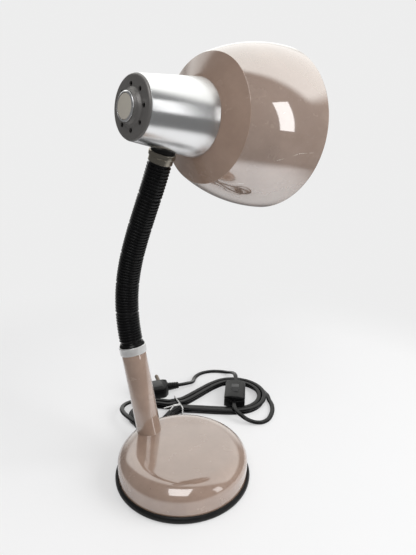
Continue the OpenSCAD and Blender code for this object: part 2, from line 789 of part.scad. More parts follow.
// Half a length of the sleeve, solid, from radius r0 to r1, with ribs at the given heights
module sleeve_half(z0, z1, r0, r1, heights) {
  function r_at(h) = r0 + (r1 - r0) * (h - z0) / (z1 - z0);
  rotate_extrude($fn = 96) polygon(concat([[0, z0], [r0 - rib_h, z0]],
    [for (h = heights) each rib_outline(h, r_at(h))], [[r1 - rib_h, z1], [0, z1]]));
}

// Rib that lies square to a joint's axis, with its flat side downwards
module end_rib(h, r) {
  rotate_extrude($fn = 96) polygon([[0, h - rib_w / 2], [r - rib_h, h - rib_w / 2], [r, h - rib_w / 4],
    [r, h + rib_w / 4], [r - rib_h * 1.5, h + rib_w * 0.625], [0, h + rib_w * 0.625]]);
}

// One length of the black ribbed sleeve: two straight halves that meet in its middle groove
module neck_sleeve(k) {
  bend = neck_bends[k - 1];
  side = rib_count / 2;
  low = sleeve_above + rib_w / 2;
  high = joint_below + rib_w / 2;
  pitch = (neck_len - low - high) / (rib_count - 1);
  share = (neck_len + low - high) / 2 / neck_len;
  low_bend = bend * share;
  high_bend = bend - low_bend;
  low_len = chord(low_bend, neck_len * share);
  high_len = chord(high_bend, neck_len * (1 - share));
  r0 = rib_r(k - 1);
  r1 = rib_r(k);
  mid = rib_r(k - 0.5);
  reach = 2 * mid * tan(abs(bend) / 4);
  filler_w = 2 * mid * tan(abs(bend) / 3.5) + 0.2;
  color([0.07, 0.07, 0.07]) joint_frame(k - 1) difference() {
    union() {
      intersection() {
        rotate([0, -low_bend / 2, 0])
          sleeve_half(-reach, low_len, r0, mid, [for (i = [1:side - 1]) low + pitch * i]);
        translate([0, 0, low]) cylinder(r = rib_d, h = neck_len, $fn = 48);
      }
      end_rib(low, r0);
      arc_end(low_bend, neck_len * share)
        cylinder(r = mid - rib_h + filler_h, h = filler_w, center = true, $fn = 96);
      arc_end(bend, neck_len) {
        intersection() {
          rotate([0, high_bend / 2, 0])
            sleeve_half(-high_len, reach, mid, r1, [for (i = [side - 1:-1:1]) -high - pitch * i]);
          translate([0, 0, -high - neck_len]) cylinder(r = rib_d, h = neck_len, $fn = 48);
        }
        mirror([0, 0, 1]) end_rib(high, r1);
      }
    }
    rotate([0, -low_bend / 2, 0]) translate([0, 0, -1 - reach])
      cylinder(r = sleeve_in, h = low_len + 1 + reach, $fn = 72);
    arc_end(low_bend, neck_len * share) {
      sphere(r = sleeve_in + 0.3, $fn = 72);
      rotate([0, -high_bend / 2, 0]) cylinder(r = sleeve_in, h = high_len + reach, $fn = 72);
    }
  }
}

module ferrule() {
  low_r = rib_top_d / 2 + 0.2;
  color([0.72, 0.70, 0.64]) joint_frame(section_count)
    rotate_extrude($fn = 96) polygon([[core_r + fit, sleeve_above], [low_r, sleeve_above],
      [low_r, ferrule_top - 4.4], [ferrule_d / 2, ferrule_top - 3.8],
      [ferrule_d / 2, ferrule_top - 0.6], [ferrule_d / 2 - 0.6, ferrule_top],
      [nipple_d / 2 + seat, ferrule_top], [nipple_d / 2 + seat, ferrule_top - 1.5],
      [core_r + fit, ferrule_top - 1.5]]);
}

module swivel_nipple() {
  shoulder = ferrule_top - 1.5 - seat;
  color([0.72, 0.66, 0.42]) joint_frame(section_count) rotate_extrude($fn = 72) polygon(concat(
    socket_outline(), [[core_r, 0], [core_r, shoulder], [nipple_d / 2, shoulder],
      [nipple_d / 2, axis_h - nipple_x], [core_bore / 2, axis_h - nipple_x]]));
}

module spring_washer() {
  color([0.7, 0.7, 0.72]) joint_frame(section_count) translate([0, 0, axis_h - washer_x + seat])
    ring_of(spring_d / 2, nipple_d / 2 + fit, spring_t - 2 * seat, 48);
}

module lock_nut() {
  color([0.72, 0.66, 0.42]) joint_frame(section_count) translate([0, 0, axis_h - nut_x])
    hex_nut(lock_across, nipple_d / 2 + seat, lock_h);
}

// Outer form of the housing, drawn out by t
module housing_solid(t) {
  rotate_extrude($fn = 120) polygon([[0, cap_round + seat],
    [housing_back_d / 2 + taper * cap_round + t, cap_round + seat],
    [housing_front_d / 2 + t, housing_len], [0, housing_len]]);
}

// Cylinder about the swivel, in the head's frame
module swivel_bore(r) {
  translate([0, 0, swivel_z]) rotate([0, -90, 0]) cylinder(r = r, h = housing_front_d, $fn = 48);
}

module saddle_washer() {
  color([0.08, 0.08, 0.08]) difference() {
    joint_frame(section_count) translate([0, 0, saddle_z]) cylinder(r = saddle_d / 2, h = 4, $fn = 72);
    head_frame() housing_solid(seat);
    head_frame() swivel_bore(nipple_d / 2 + run);
  }
}

module housing() {
  back_in = housing_back_d / 2 + taper * cap_round - housing_t;
  front_in = housing_front_d / 2 - housing_t;
  color([0.83, 0.84, 0.85]) head_frame() difference() {
    housing_solid(0);
    rotate_extrude($fn = 120) polygon([[0, 0], [back_in - taper * cap_round, 0],
      [front_in + taper, housing_len + 1], [0, housing_len + 1]]);
    swivel_bore(nipple_d / 2 + run);
  }
}

module end_cap() {
  edge_r = housing_back_d / 2;
  skirt_r = edge_r - housing_t - fit;
  color([0.36, 0.35, 0.35]) head_frame() difference() {
    rotate_extrude($fn = 120) polygon(concat(
      [[button_d / 2 + 1.3, -boss_h], [button_d / 2 + 2.1, -boss_h],
        [button_d / 2 + 2.9, -boss_h * 0.45], [button_d / 2 + 4.2, 0]],
      quarter(edge_r - cap_round, cap_round, cap_round, cap_round, -90, 0, 6),
      [[skirt_r, cap_round], [skirt_r, cap_round + skirt_h], [skirt_r - 1, cap_round + skirt_h],
        [skirt_r - 1, cap_t], [button_d / 2 + 1.3, cap_t]]));
    for (i = [0:vent_count - 1])
      rotate([0, 0, vent_turn + 360 / vent_count * i]) translate([vent_r, 0, -1])
        cylinder(r = vent_d / 2, h = 4, $fn = 32);
  }
}

module switch_collar() {
  in_r = button_d / 2 + 0.2;
  color([0.85, 0.85, 0.86]) head_frame() rotate_extrude($fn = 96) polygon([
    [in_r, -boss_h - 1.4], [in_r + 0.6, -boss_h - 1.4], [in_r + 1.5, -boss_h - 0.8],
    [in_r + 1.5, -boss_h - seat], [in_r + 1, -boss_h - seat], [in_r + 1, 3], [in_r, 3]]);
}

module switch_body() {
  color([0.12, 0.12, 0.12]) head_frame() difference() {
    union() {
      translate([0, 0, 3 + seat]) cylinder(r = button_d / 2 + 2, h = switch_len, $fn = 72);
      for (y = [-5, 5])
        translate([-2.4, y - 0.4, switch_len + 2]) cube([4.8, 0.8, lug_len + 1]);
    }
    translate([0, 0, 1]) cylinder(r = 3 + run, h = 7 + button_travel + 2, $fn = 48);
  }
}

module push_button() {
  face = -boss_h - 1.2;
  color([0.66, 0.63, 0.58]) head_frame() {
    translate([0, 0, face]) rotate_extrude($fn = 96)
      polygon([[0, 0], [button_d / 2 - 0.5, 0], [button_d / 2, 0.5], [button_d / 2, 3], [0, 3]]);
    cylinder(r = 3, h = 7, $fn = 48);
    translate([0, 0, face + 2]) cylinder(r = 3, h = -face, $fn = 48);
  }
}

module holder_bracket() {
  half = bracket_w / 2;
  color([0.7, 0.7, 0.72]) head_frame() difference() {
    union() {
      translate([-bracket_x, -half, bracket_z]) cube([bracket_t, bracket_w, swivel_z - bracket_z + 9]);
      translate([-bracket_x, -half, bracket_z]) cube([bracket_x + 12, bracket_w, bracket_t]);
    }
    swivel_bore(nipple_d / 2 + run);
    for (x = [-6, 6])
      translate([x, 0, bracket_z - 1]) cylinder(r = 1.5 + fit, h = 5, $fn = 24);
  }
}

module bracket_screws() {
  color([0.72, 0.66, 0.42]) head_frame() for (x = [-6, 6]) {
    translate([x, 0, bracket_z - 1.5 - seat]) cylinder(r = 2.7, h = 1.5, $fn = 32);
    translate([x, 0, bracket_z - 0.5]) cylinder(r = 1.5, h = 4.5, $fn = 24);
  }
}

module lampholder() {
  in_r = shell_r + shell_t + fit;
  color([0.09, 0.08, 0.08]) head_frame() difference() {
    rotate_extrude($fn = 96) polygon([[0, holder_z], [holder_d / 2 - 2, holder_z],
      [holder_d / 2, holder_z + 2], [holder_d / 2, flange_z - 3], [holder_d / 2 + 3.4, flange_z],
      [holder_d / 2 + 3.4, housing_len], [skirt_d / 2, housing_len],
      [skirt_d / 2, housing_len + skirt_len], [in_r, housing_len + skirt_len],
      [in_r, floor_z], [0, floor_z]]);
    for (x = [-6, 6])
      translate([x, 0, holder_z - 1]) cylinder(r = 1.5 + seat, h = 3.6, $fn = 24);
  }
}

module screw_shell() {
  low = floor_z + seat;
  color([0.78, 0.66, 0.35]) head_frame() translate([0, 0, low])
    ring_of(shell_r + shell_t, shell_r, housing_len + skirt_len - 6 - low, 72);
}

module centre_contact() {
  color([0.78, 0.66, 0.35]) head_frame() translate([0, 0, floor_z + seat]) {
    translate([-3.5, -7, 0]) cube([7, 14, 0.6]);
    cylinder(r = 3, h = contact_h - seat, $fn = 32);
  }
}

// Half-section of the shade's bowl as an arc through the crease and the rim
function bowl_arc(t, steps) =
  let (p = [crease_r, housing_len + crease_z],
    q = [rim_r, rim_z],
    half = norm(q - p) / 2,
    mid = (p + q) / 2,
    n = [-(q - p)[1], (q - p)[0]] / norm(q - p),
    centre = mid + n * sqrt(pow(bowl_r, 2) - pow(half, 2)),
    a0 = atan2(p[1] - centre[1], p[0] - centre[0]),
    a1 = atan2(q[1] - centre[1], q[0] - centre[0]))
  [for (i = [0:steps]) let (a = a0 + (a1 - a0) * i / steps) centre + (bowl_r - t) * [cos(a), sin(a)]];

module shade() {
  hole_r = shade_hole_d / 2;
  flat_r = housing_front_d / 2 + 0.4;
  outer = bowl_arc(0, 14);
  inner = bowl_arc(shade_t, 14);
  color([0.58, 0.50, 0.45]) head_frame() rotate_extrude($fn = 144) union() {
    polygon(concat([[hole_r, shade_z], [flat_r, shade_z]], outer,
      [for (i = [len(inner) - 1:-1:1]) inner[i]],
      [[crease_r - shade_t * 0.6, housing_len + crease_z + shade_t * 0.9],
        [flat_r - 0.3, shade_z + shade_t], [hole_r, shade_z + shade_t]]));
    translate([rim_r - bead_r, rim_z]) circle(r = bead_r, $fn = 24);
  }
}

module shade_ring() {
  low = shade_z + shade_t + seat;
  in_r = skirt_d / 2 + fit;
  color([0.09, 0.08, 0.08]) head_frame() difference() {
    rotate_extrude($fn = 96) polygon([[in_r, low], [in_r + 7, low], [in_r + 7, low + 3],
      [in_r + 3, low + 6.5], [in_r, low + 6.5]]);
    for (i = [0:11])
      rotate([0, 0, 30 * i]) translate([in_r + 7.6, 0, low - 1]) cylinder(r = 1.6, h = 6, $fn = 24);
  }
}

module bulb_glass() {
  r = bulb_d / 2;
  centre = bulb_z + bulb_len - r;
  neck_r = bulb_cap_d / 2 - 0.8;
  low = bulb_z + 25;
  t = 0.8;
  join = asin((neck_r + 1) / r);
  color([0.95, 0.94, 0.90]) head_frame() rotate_extrude($fn = 96) difference() {
    polygon(concat([[0, low], [neck_r, low], [neck_r + 0.6, low + 4]],
      quarter(0, centre, r, r, join - 90, 90, 20)));
    polygon(concat([[0, low - 1], [neck_r - t, low - 1], [neck_r + 0.6 - t, low + 4]],
      quarter(0, centre, r - t, r - t, join - 90, 90, 20)));
  }
}

module bulb_cap() {
  r = bulb_cap_d / 2;
  color([0.76, 0.76, 0.78]) head_frame() translate([0, 0, bulb_z]) difference() {
    rotate_extrude($fn = 72) polygon([[0, 0], [4.5, 0], [5, 1.2], [10, 3.4], [r, 5], [r, 25 - seat],
      [0, 25 - seat]]);
    translate([0, 0, 6]) cylinder(r = r - 1.2, h = 30, $fn = 72);
  }
}

edge_ring();
base_cover();
ballast();
base_plate();
felt_pad();
plate_screws();
foot_plug();
foot_stud();
foot_washer();
foot_nut();
cord_gland();
cord_lead();
cord_hank();
cord_link();
cord_tail();
hank_tie();
line_switch_base();
line_switch_cover();
line_switch_rocker();
plug_body();
plug_cover();
plug_pins();
stem_tube();
neck_foot();
bezel_ring();
neck_cuff();
neck_core(1);  // neck_core_1
neck_core(2);  // neck_core_2
neck_core(3);  // neck_core_3
neck_core(4);  // neck_core_4
neck_core(5);  // neck_core_5
neck_core(6);  // neck_core_6
neck_sleeve(1);  // neck_sleeve_1
neck_sleeve(2);  // neck_sleeve_2
neck_sleeve(3);  // neck_sleeve_3
neck_sleeve(4);  // neck_sleeve_4
neck_sleeve(5);  // neck_sleeve_5
neck_sleeve(6);  // neck_sleeve_6
ferrule();
swivel_nipple();
spring_washer();
lock_nut();
saddle_washer();
housing();
end_cap();
switch_collar();
switch_body();
push_button();
holder_bracket();
bracket_screws();
lampholder();
screw_shell();
centre_contact();
shade();
shade_ring();
bulb_glass();
bulb_cap();
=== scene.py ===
import math

import bmesh
import bpy
from mathutils import Matrix, Vector


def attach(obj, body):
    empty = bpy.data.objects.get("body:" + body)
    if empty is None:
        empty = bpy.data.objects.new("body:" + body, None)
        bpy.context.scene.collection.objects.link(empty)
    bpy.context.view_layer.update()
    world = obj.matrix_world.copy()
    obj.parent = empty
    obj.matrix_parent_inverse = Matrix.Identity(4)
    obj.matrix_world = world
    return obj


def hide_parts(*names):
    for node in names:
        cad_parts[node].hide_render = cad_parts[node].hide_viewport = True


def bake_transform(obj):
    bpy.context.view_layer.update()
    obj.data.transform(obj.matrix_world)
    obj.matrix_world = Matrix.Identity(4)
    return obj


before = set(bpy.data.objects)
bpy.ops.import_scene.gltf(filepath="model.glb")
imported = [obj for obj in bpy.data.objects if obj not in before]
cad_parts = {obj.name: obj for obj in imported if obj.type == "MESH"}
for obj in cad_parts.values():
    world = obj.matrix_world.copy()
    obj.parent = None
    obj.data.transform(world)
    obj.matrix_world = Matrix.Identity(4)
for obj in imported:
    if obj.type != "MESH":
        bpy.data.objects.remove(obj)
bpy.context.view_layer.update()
scene = bpy.context.scene

# Frames and sizes, in millimetres and degrees: a piece is drawn in its own frame, then placed


def rot(axis, degrees):
    return Matrix.Rotation(math.radians(degrees), 4, axis)


def move(x=0.0, y=0.0, z=0.0):
    return Matrix.Translation((x, y, z))


MM = Matrix.Scale(0.001, 4)
WORLD = Matrix.Identity(4)
BASE_TURN, STEM_LEAN, GLAND_TURN = 15, 12.5, -14
STEM_FOOT_X, STEM_FOOT_Z, GLAND_Z = 42.3, 33, 14
BASE = rot("Z", BASE_TURN)
STEM = BASE @ move(STEM_FOOT_X, 0, STEM_FOOT_Z) @ rot("Y", STEM_LEAN)
GLAND = BASE @ rot("Z", GLAND_TURN) @ move(0, 0, GLAND_Z) @ rot("Y", 90)
STEM_R, STEM_TOP, BEZEL_TOP, CUFF_TOP = 11.8, 79.6, 87.3, 90.5
# How far each length of the sleeve bends, from the foot up, and how far each joint turns
BENDS = (10.5, 12, 9, 4, 0.5, -3)
NECK_LEN, NECK_BEND = 29.2, 12
RIB_FOOT_R, RIB_TOP_R, RIB_H, RIB_W, RIB_COUNT = 11.1, 10.1, 1.0, 1.4, 10
SLEEVE_BORE, ABOVE_JOINT, JOINT_GAP = 8.0, 0.3, 0.2
BELOW_JOINT = RIB_FOOT_R * math.tan(math.radians(NECK_BEND)) + JOINT_GAP - ABOVE_JOINT
FERRULE_TOP = 9.0


def arc_end(bend, length):
    r = length / math.radians(bend)
    a = math.radians(bend)
    return move(-r * (1 - math.cos(a)), 0, r * math.sin(a)) @ rot("Y", -bend)


def rib_radius(joint):
    return RIB_FOOT_R + (RIB_TOP_R - RIB_FOOT_R) * joint / len(BENDS)


JOINTS = [STEM @ move(0, 0, CUFF_TOP + BELOW_JOINT)]
for bend in BENDS:
    JOINTS.append(JOINTS[-1] @ arc_end(bend, NECK_LEN))
HEAD_LEN, SWIVEL_Z, HEAD_TURN = 60.4, 38.6, 75.5
BACK_R, FRONT_R = 23.4, 31.15
SADDLE_T, SADDLE_R = 0.5, 10
TAPER = (FRONT_R - BACK_R) / HEAD_LEN
AXIS_H = FERRULE_TOP + SADDLE_T + TAPER * SADDLE_R + BACK_R + TAPER * SWIVEL_Z
HEAD = JOINTS[6] @ move(0, 0, AXIS_H) @ rot("Z", HEAD_TURN) @ rot("Y", -90) @ move(0, 0, -SWIVEL_Z)
HANK_X, HANK_Y, HANK_TURN = 87, -62, -107.5
LINE_X, LINE_Y, LINE_TURN, LINE_L, LINE_SEAM = 73, -1, 61.5, 44, 9.6
PLUG_X, PLUG_Y, PLUG_Z, PLUG_TURN = 14.3, 42, 8.3, -4.5
HANK = move(HANK_X, HANK_Y) @ rot("Z", HANK_TURN)
LINE = HANK @ move(LINE_X, LINE_Y) @ rot("Z", LINE_TURN)
PLUG = HANK @ move(PLUG_X, PLUG_Y, PLUG_Z) @ rot("Z", PLUG_TURN)

SHADE_Z = HEAD_LEN + 0.05
CREASE = Vector((51.75, HEAD_LEN + 10.3))
RIM = Vector((71.0, HEAD_LEN + 82.3))
BOWL_R, BOWL_STEPS = 168, 40


def bowl(inset, steps):
    """The bowl's half-section as an arc from the crease to the rim, drawn in by inset."""
    half = (RIM - CREASE).length / 2
    d = (RIM - CREASE).normalized()
    centre = (CREASE + RIM) / 2 + Vector((-d.y, d.x)) * math.sqrt(BOWL_R ** 2 - half ** 2)
    a0 = math.atan2(CREASE.y - centre.y, CREASE.x - centre.x)
    a1 = math.atan2(RIM.y - centre.y, RIM.x - centre.x)
    r = BOWL_R - inset
    turns = [a0 + (a1 - a0) * i / steps for i in range(steps + 1)]
    return [(centre.x + r * math.cos(a), centre.y + r * math.sin(a)) for a in turns]


def on_bowl(angle, z):
    """Point of the bowl's outside at an angle about the lamp and a depth from the end cap."""
    r = min(bowl(0, BOWL_STEPS), key=lambda p: abs(p[1] - z))[0]
    return (r * math.cos(math.radians(angle)), r * math.sin(math.radians(angle)), z)


# Camera, fitted to the photograph, in radians and metres; VIEW turns it and the lights about the lamp

YAW, PITCH, ROLL = 0.0551596, 0.3002225, 0.0179007
CAMERA_Y, CAMERA_Z = -0.3783298, 0.3149756
FOCAL_PX, PHOTO_PX, SENSOR = 470, 555, 36
VIEW = rot("Z", -128)


def linked(name, data):
    obj = bpy.data.objects.new(name, data)
    scene.collection.objects.link(obj)
    return obj


level = math.cos(PITCH)
forward = Vector((math.sin(YAW) * level, math.cos(YAW) * level, -math.sin(PITCH)))
right = Vector((math.cos(YAW), -math.sin(YAW), 0))
up = right.cross(forward)
right, up = right * math.cos(ROLL) + up * math.sin(ROLL), up * math.cos(ROLL) - right * math.sin(ROLL)
camera = linked("camera", bpy.data.cameras.new("camera"))
camera.matrix_world = VIEW @ move(0, CAMERA_Y, CAMERA_Z) @ Matrix((right, up, -forward)).transposed().to_4x4()
camera.data.sensor_fit = "VERTICAL"
camera.data.sensor_height = SENSOR
camera.data.lens = FOCAL_PX / PHOTO_PX * SENSOR
camera.data.clip_start = 0.01
scene.camera = camera

# Mesh helpers


def add(name, mesh, finish, body, nodes, angle=32):
    """Links a finished mesh with its materials; nodes names the CAD nodes that it stands for."""
    mesh.materials.clear()
    for key in [finish] if isinstance(finish, str) else finish:
        mesh.materials.append(mats[key])
    mesh.shade_smooth()
    mesh.set_sharp_from_angle(angle=math.radians(angle))
    obj = linked(name, mesh)
    if body:
        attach(obj, body)
    if nodes:
        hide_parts(*nodes.split())
    return obj


def to_mesh(name, bm, place=WORLD, flip=True, scale=MM):
    if flip:
        bmesh.ops.recalc_face_normals(bm, faces=bm.faces)
    bm.transform(scale @ place)
    mesh = bpy.data.meshes.new(name)
    bm.to_mesh(mesh)
    bm.free()
    return mesh


def skin(name, bm, place, finish, body, nodes, angle=32):
    """Adds a piece that is drawn in millimetres in its own frame."""
    return add(name, to_mesh(name, bm, place), finish, body, nodes, angle)


def reopened(mesh):
    bm = bmesh.new()
    bm.from_mesh(mesh)
    return bm


def evaluated(obj):
    """The plain mesh that an object's modifiers make."""
    return bpy.data.meshes.new_from_object(obj.evaluated_get(bpy.context.evaluated_depsgraph_get()))


def rounded(points, steps=4):
    """Rounds the corners of a closed outline; a point is (x, y) or (x, y, radius)."""
    out = []
    count = len(points)
    for i, p in enumerate(points):
        b = Vector(p[:2])
        r = p[2] if len(p) > 2 else 0
        if not r:
            out.append(tuple(b))
            continue
        a = Vector(points[i - 1][:2])
        c = Vector(points[(i + 1) % count][:2])
        u, v = (a - b).normalized(), (c - b).normalized()
        half = u.angle(v) / 2
        if half < 0.01 or half > 1.56:
            out.append(tuple(b))
            continue
        reach = min(r / math.tan(half), (a - b).length * 0.48, (c - b).length * 0.48)
        p0, p1 = b + u * reach, b + v * reach
        for k in range(steps + 1):
            t = k / steps
            out.append(tuple(p0 * (1 - t) ** 2 + b * 2 * t * (1 - t) + p1 * t * t))
    return out


def lathe(outline, segments=128, closed=True):
    """Turns an outline of (radius, height) about Z."""
    bm = bmesh.new()
    turns = [2 * math.pi * k / segments for k in range(segments)]
    rings = [[bm.verts.new((0, 0, z))] if r < 1e-6 else
             [bm.verts.new((r * math.cos(a), r * math.sin(a), z)) for a in turns] for r, z in outline]
    for a, b in zip(rings, rings[1:] + (rings[:1] if closed else [])):
        for k in range(segments):
            n = (k + 1) % segments
            corners = ([a[n], a[k]] if len(a) > 1 else a) + ([b[k], b[n]] if len(b) > 1 else b)
            if len(corners) > 2:
                bm.faces.new(corners)
    return bm


def ellipse(cx, cy, rx, ry, start, end, steps):
    turns = [math.radians(start + (end - start) * i / steps) for i in range(steps + 1)]
    return [(cx + rx * math.cos(a), cy + ry * math.sin(a)) for a in turns]


def block(outline, low, high, edge=0.6, steps=3):
    """A prism over a flat outline, with its upper and lower edges rounded."""
    bm = bmesh.new()
    verts = [bm.verts.new((x, y, low)) for x, y in outline]
    face = bm.faces.new(verts)
    top = bmesh.ops.extrude_face_region(bm, geom=[face])
    for v in [g for g in top["geom"] if isinstance(g, bmesh.types.BMVert)]:
        v.co.z = high
    bmesh.ops.recalc_face_normals(bm, faces=bm.faces)
    if edge:
        rims = [e for e in bm.edges if abs(e.verts[0].co.z - e.verts[1].co.z) < 1e-6]
        bmesh.ops.bevel(bm, geom=rims, offset=edge, segments=steps, profile=0.5, affect="EDGES")
    return bm


def cut(mesh, cutter):
    """Cuts a solid, drawn in millimetres, out of a mesh, exactly."""
    obj, tool = linked("cutting", mesh), linked("tool", to_mesh("tool", cutter))
    modifier = obj.modifiers.new("cut", "BOOLEAN")
    modifier.operation, modifier.solver, modifier.object = "DIFFERENCE", "EXACT", tool
    made = evaluated(obj)
    for o in (obj, tool):
        bpy.data.objects.remove(o)
    return made


# Node trees


class Nodes:
    """Short names for the nodes that a tree is built from."""

    def __init__(self, tree, where=None):
        self.nt = tree
        self.where = where

    def node(self, kind, inputs=None, **settings):
        n = self.nt.nodes.new(kind)
        for key, value in settings.items():
            setattr(n, key, value)
        for key, value in (inputs or {}).items():
            if isinstance(value, bpy.types.NodeSocket):
                self.nt.links.new(value, n.inputs[key])
            else:
                n.inputs[key].default_value = value
        return n

    def math(self, operation, a, b=None, c=None, clamp=False):
        inputs = {i: v for i, v in enumerate((a, b, c)) if v is not None}
        return self.node("ShaderNodeMath", inputs, operation=operation, use_clamp=clamp).outputs[0]

    def plus(self, a, b):
        return self.math("ADD", a, b)

    def minus(self, a, b):
        return self.math("SUBTRACT", a, b)

    def times(self, a, b, clamp=False):
        return self.math("MULTIPLY", a, b, clamp=clamp)

    def over(self, a, b, clamp=False):
        return self.math("DIVIDE", a, b, clamp=clamp)

    def vector(self, operation, a, b=None, out="Value"):
        inputs = {i: v for i, v in enumerate((a, b)) if v is not None}
        return self.node("ShaderNodeVectorMath", inputs, operation=operation).outputs[out]

    def noise(self, scale, detail=3.0, rough=0.5, source=None):
        inputs = {"Vector": source or self.where, "Scale": scale, "Detail": detail, "Roughness": rough}
        return self.node("ShaderNodeTexNoise", inputs).outputs["Fac"]

    def band(self, value, low, high, a=0.0, b=1.0):
        return self.node("ShaderNodeMapRange",
                         {"Value": value, "From Min": low, "From Max": high, "To Min": a, "To Max": b},
                         interpolation_type="SMOOTHSTEP").outputs["Result"]

    def mix(self, factor, *tones):
        a, b = [(*tone, 1) if isinstance(tone, tuple) else tone for tone in tones]
        return self.node("ShaderNodeMix", {0: factor, 6: a, 7: b}, data_type="RGBA").outputs[2]


def new_tree(name, kind, inputs, outputs):
    """A node group. An input is a number, its default, or a kind of socket; an output is a kind."""
    tree = bpy.data.node_groups.new(name, kind)
    for label, value in inputs.items():
        socket = value if isinstance(value, str) else "Int" if isinstance(value, int) else "Float"
        made = tree.interface.new_socket(label, in_out="INPUT", socket_type="NodeSocket" + socket)
        if socket != value:
            made.default_value = value
    for label, socket in outputs.items():
        tree.interface.new_socket(label, in_out="OUTPUT", socket_type="NodeSocket" + socket)
    return tree, tree.nodes.new("NodeGroupInput").outputs, tree.nodes.new("NodeGroupOutput").inputs


def patina_group():
    """Soft clouds of wear, and separate specks: a random share of cells hold one."""
    tree, given, out = new_tree("patina", "ShaderNodeTree", {
        "Place": "Vector", "Cloud Scale": 50.0, "Cloud Low": 0.5, "Cloud High": 0.8, "Speck Scale": 500.0,
        "Speck Size": 0.15, "Speck Share": 0.01}, {"Clouds": "Float", "Specks": "Float"})
    n = Nodes(tree, given["Place"])
    clouds = n.band(n.noise(given["Cloud Scale"], 4, 0.6), given["Cloud Low"], given["Cloud High"])
    cell = n.node("ShaderNodeTexVoronoi",
                  {"Vector": given["Place"], "Scale": given["Speck Scale"], "Randomness": 1.0})
    part = n.node("ShaderNodeSeparateColor", {"Color": cell.outputs["Color"]}).outputs
    near = n.math("LESS_THAN", cell.outputs["Distance"], n.times(part["Green"], given["Speck Size"]))
    tree.links.new(clouds, out["Clouds"])
    tree.links.new(n.times(near, n.math("LESS_THAN", part["Red"], given["Speck Share"])), out["Specks"])
    return tree


def grain_group():
    """The fine skin of a surface, and a roughness that varies softly about its mean."""
    tree, given, out = new_tree("fine_grain", "ShaderNodeTree", {
        "Place": "Vector", "Grain Scale": 900.0, "Patch Scale": 100.0, "Smooth": 0.2, "Rough": 0.4},
        {"Height": "Float", "Roughness": "Float"})
    n = Nodes(tree, given["Place"])
    tree.links.new(n.noise(given["Grain Scale"], 3, 0.6), out["Height"])
    tree.links.new(n.band(n.noise(given["Patch Scale"], 3, 0.6), 0.3, 0.75, given["Smooth"], given["Rough"]),
                   out["Roughness"])
    return tree


def turning_group():
    """Fine marks that run round the piece's own axis."""
    tree, given, out = new_tree("turning_marks", "ShaderNodeTree", {"Place": "Vector", "Lines": 2600.0},
                                {"Marks": "Float"})
    n = Nodes(tree, given["Place"])
    part = n.node("ShaderNodeSeparateXYZ", {"Vector": given["Place"]}).outputs
    fine, broad = [n.noise(1.0, 2, 0.6, n.node("ShaderNodeCombineXYZ", {
        "X": n.times(part["X"], wide), "Y": n.times(part["Y"], wide),
        "Z": n.times(part["Z"], n.over(given["Lines"], step))}).outputs[0])
        for wide, step in ((16.0, 1.0), (7.0, 8.0))]
    tree.links.new(n.plus(n.times(fine, 0.65), n.times(broad, 0.35)), out["Marks"])
    return tree


PATINA, GRAIN, TURNING = patina_group(), grain_group(), turning_group()


def end_tree(n, geometry, given, out):
    """Ends a geometry tree: its instances made real, then its material."""
    whole = n.node("GeometryNodeRealizeInstances", {"Geometry": geometry}).outputs[0]
    done = n.node("GeometryNodeSetMaterial", {"Geometry": whole, "Material": given["Finish"]})
    n.nt.links.new(done.outputs[0], out["Geometry"])
    return n.nt


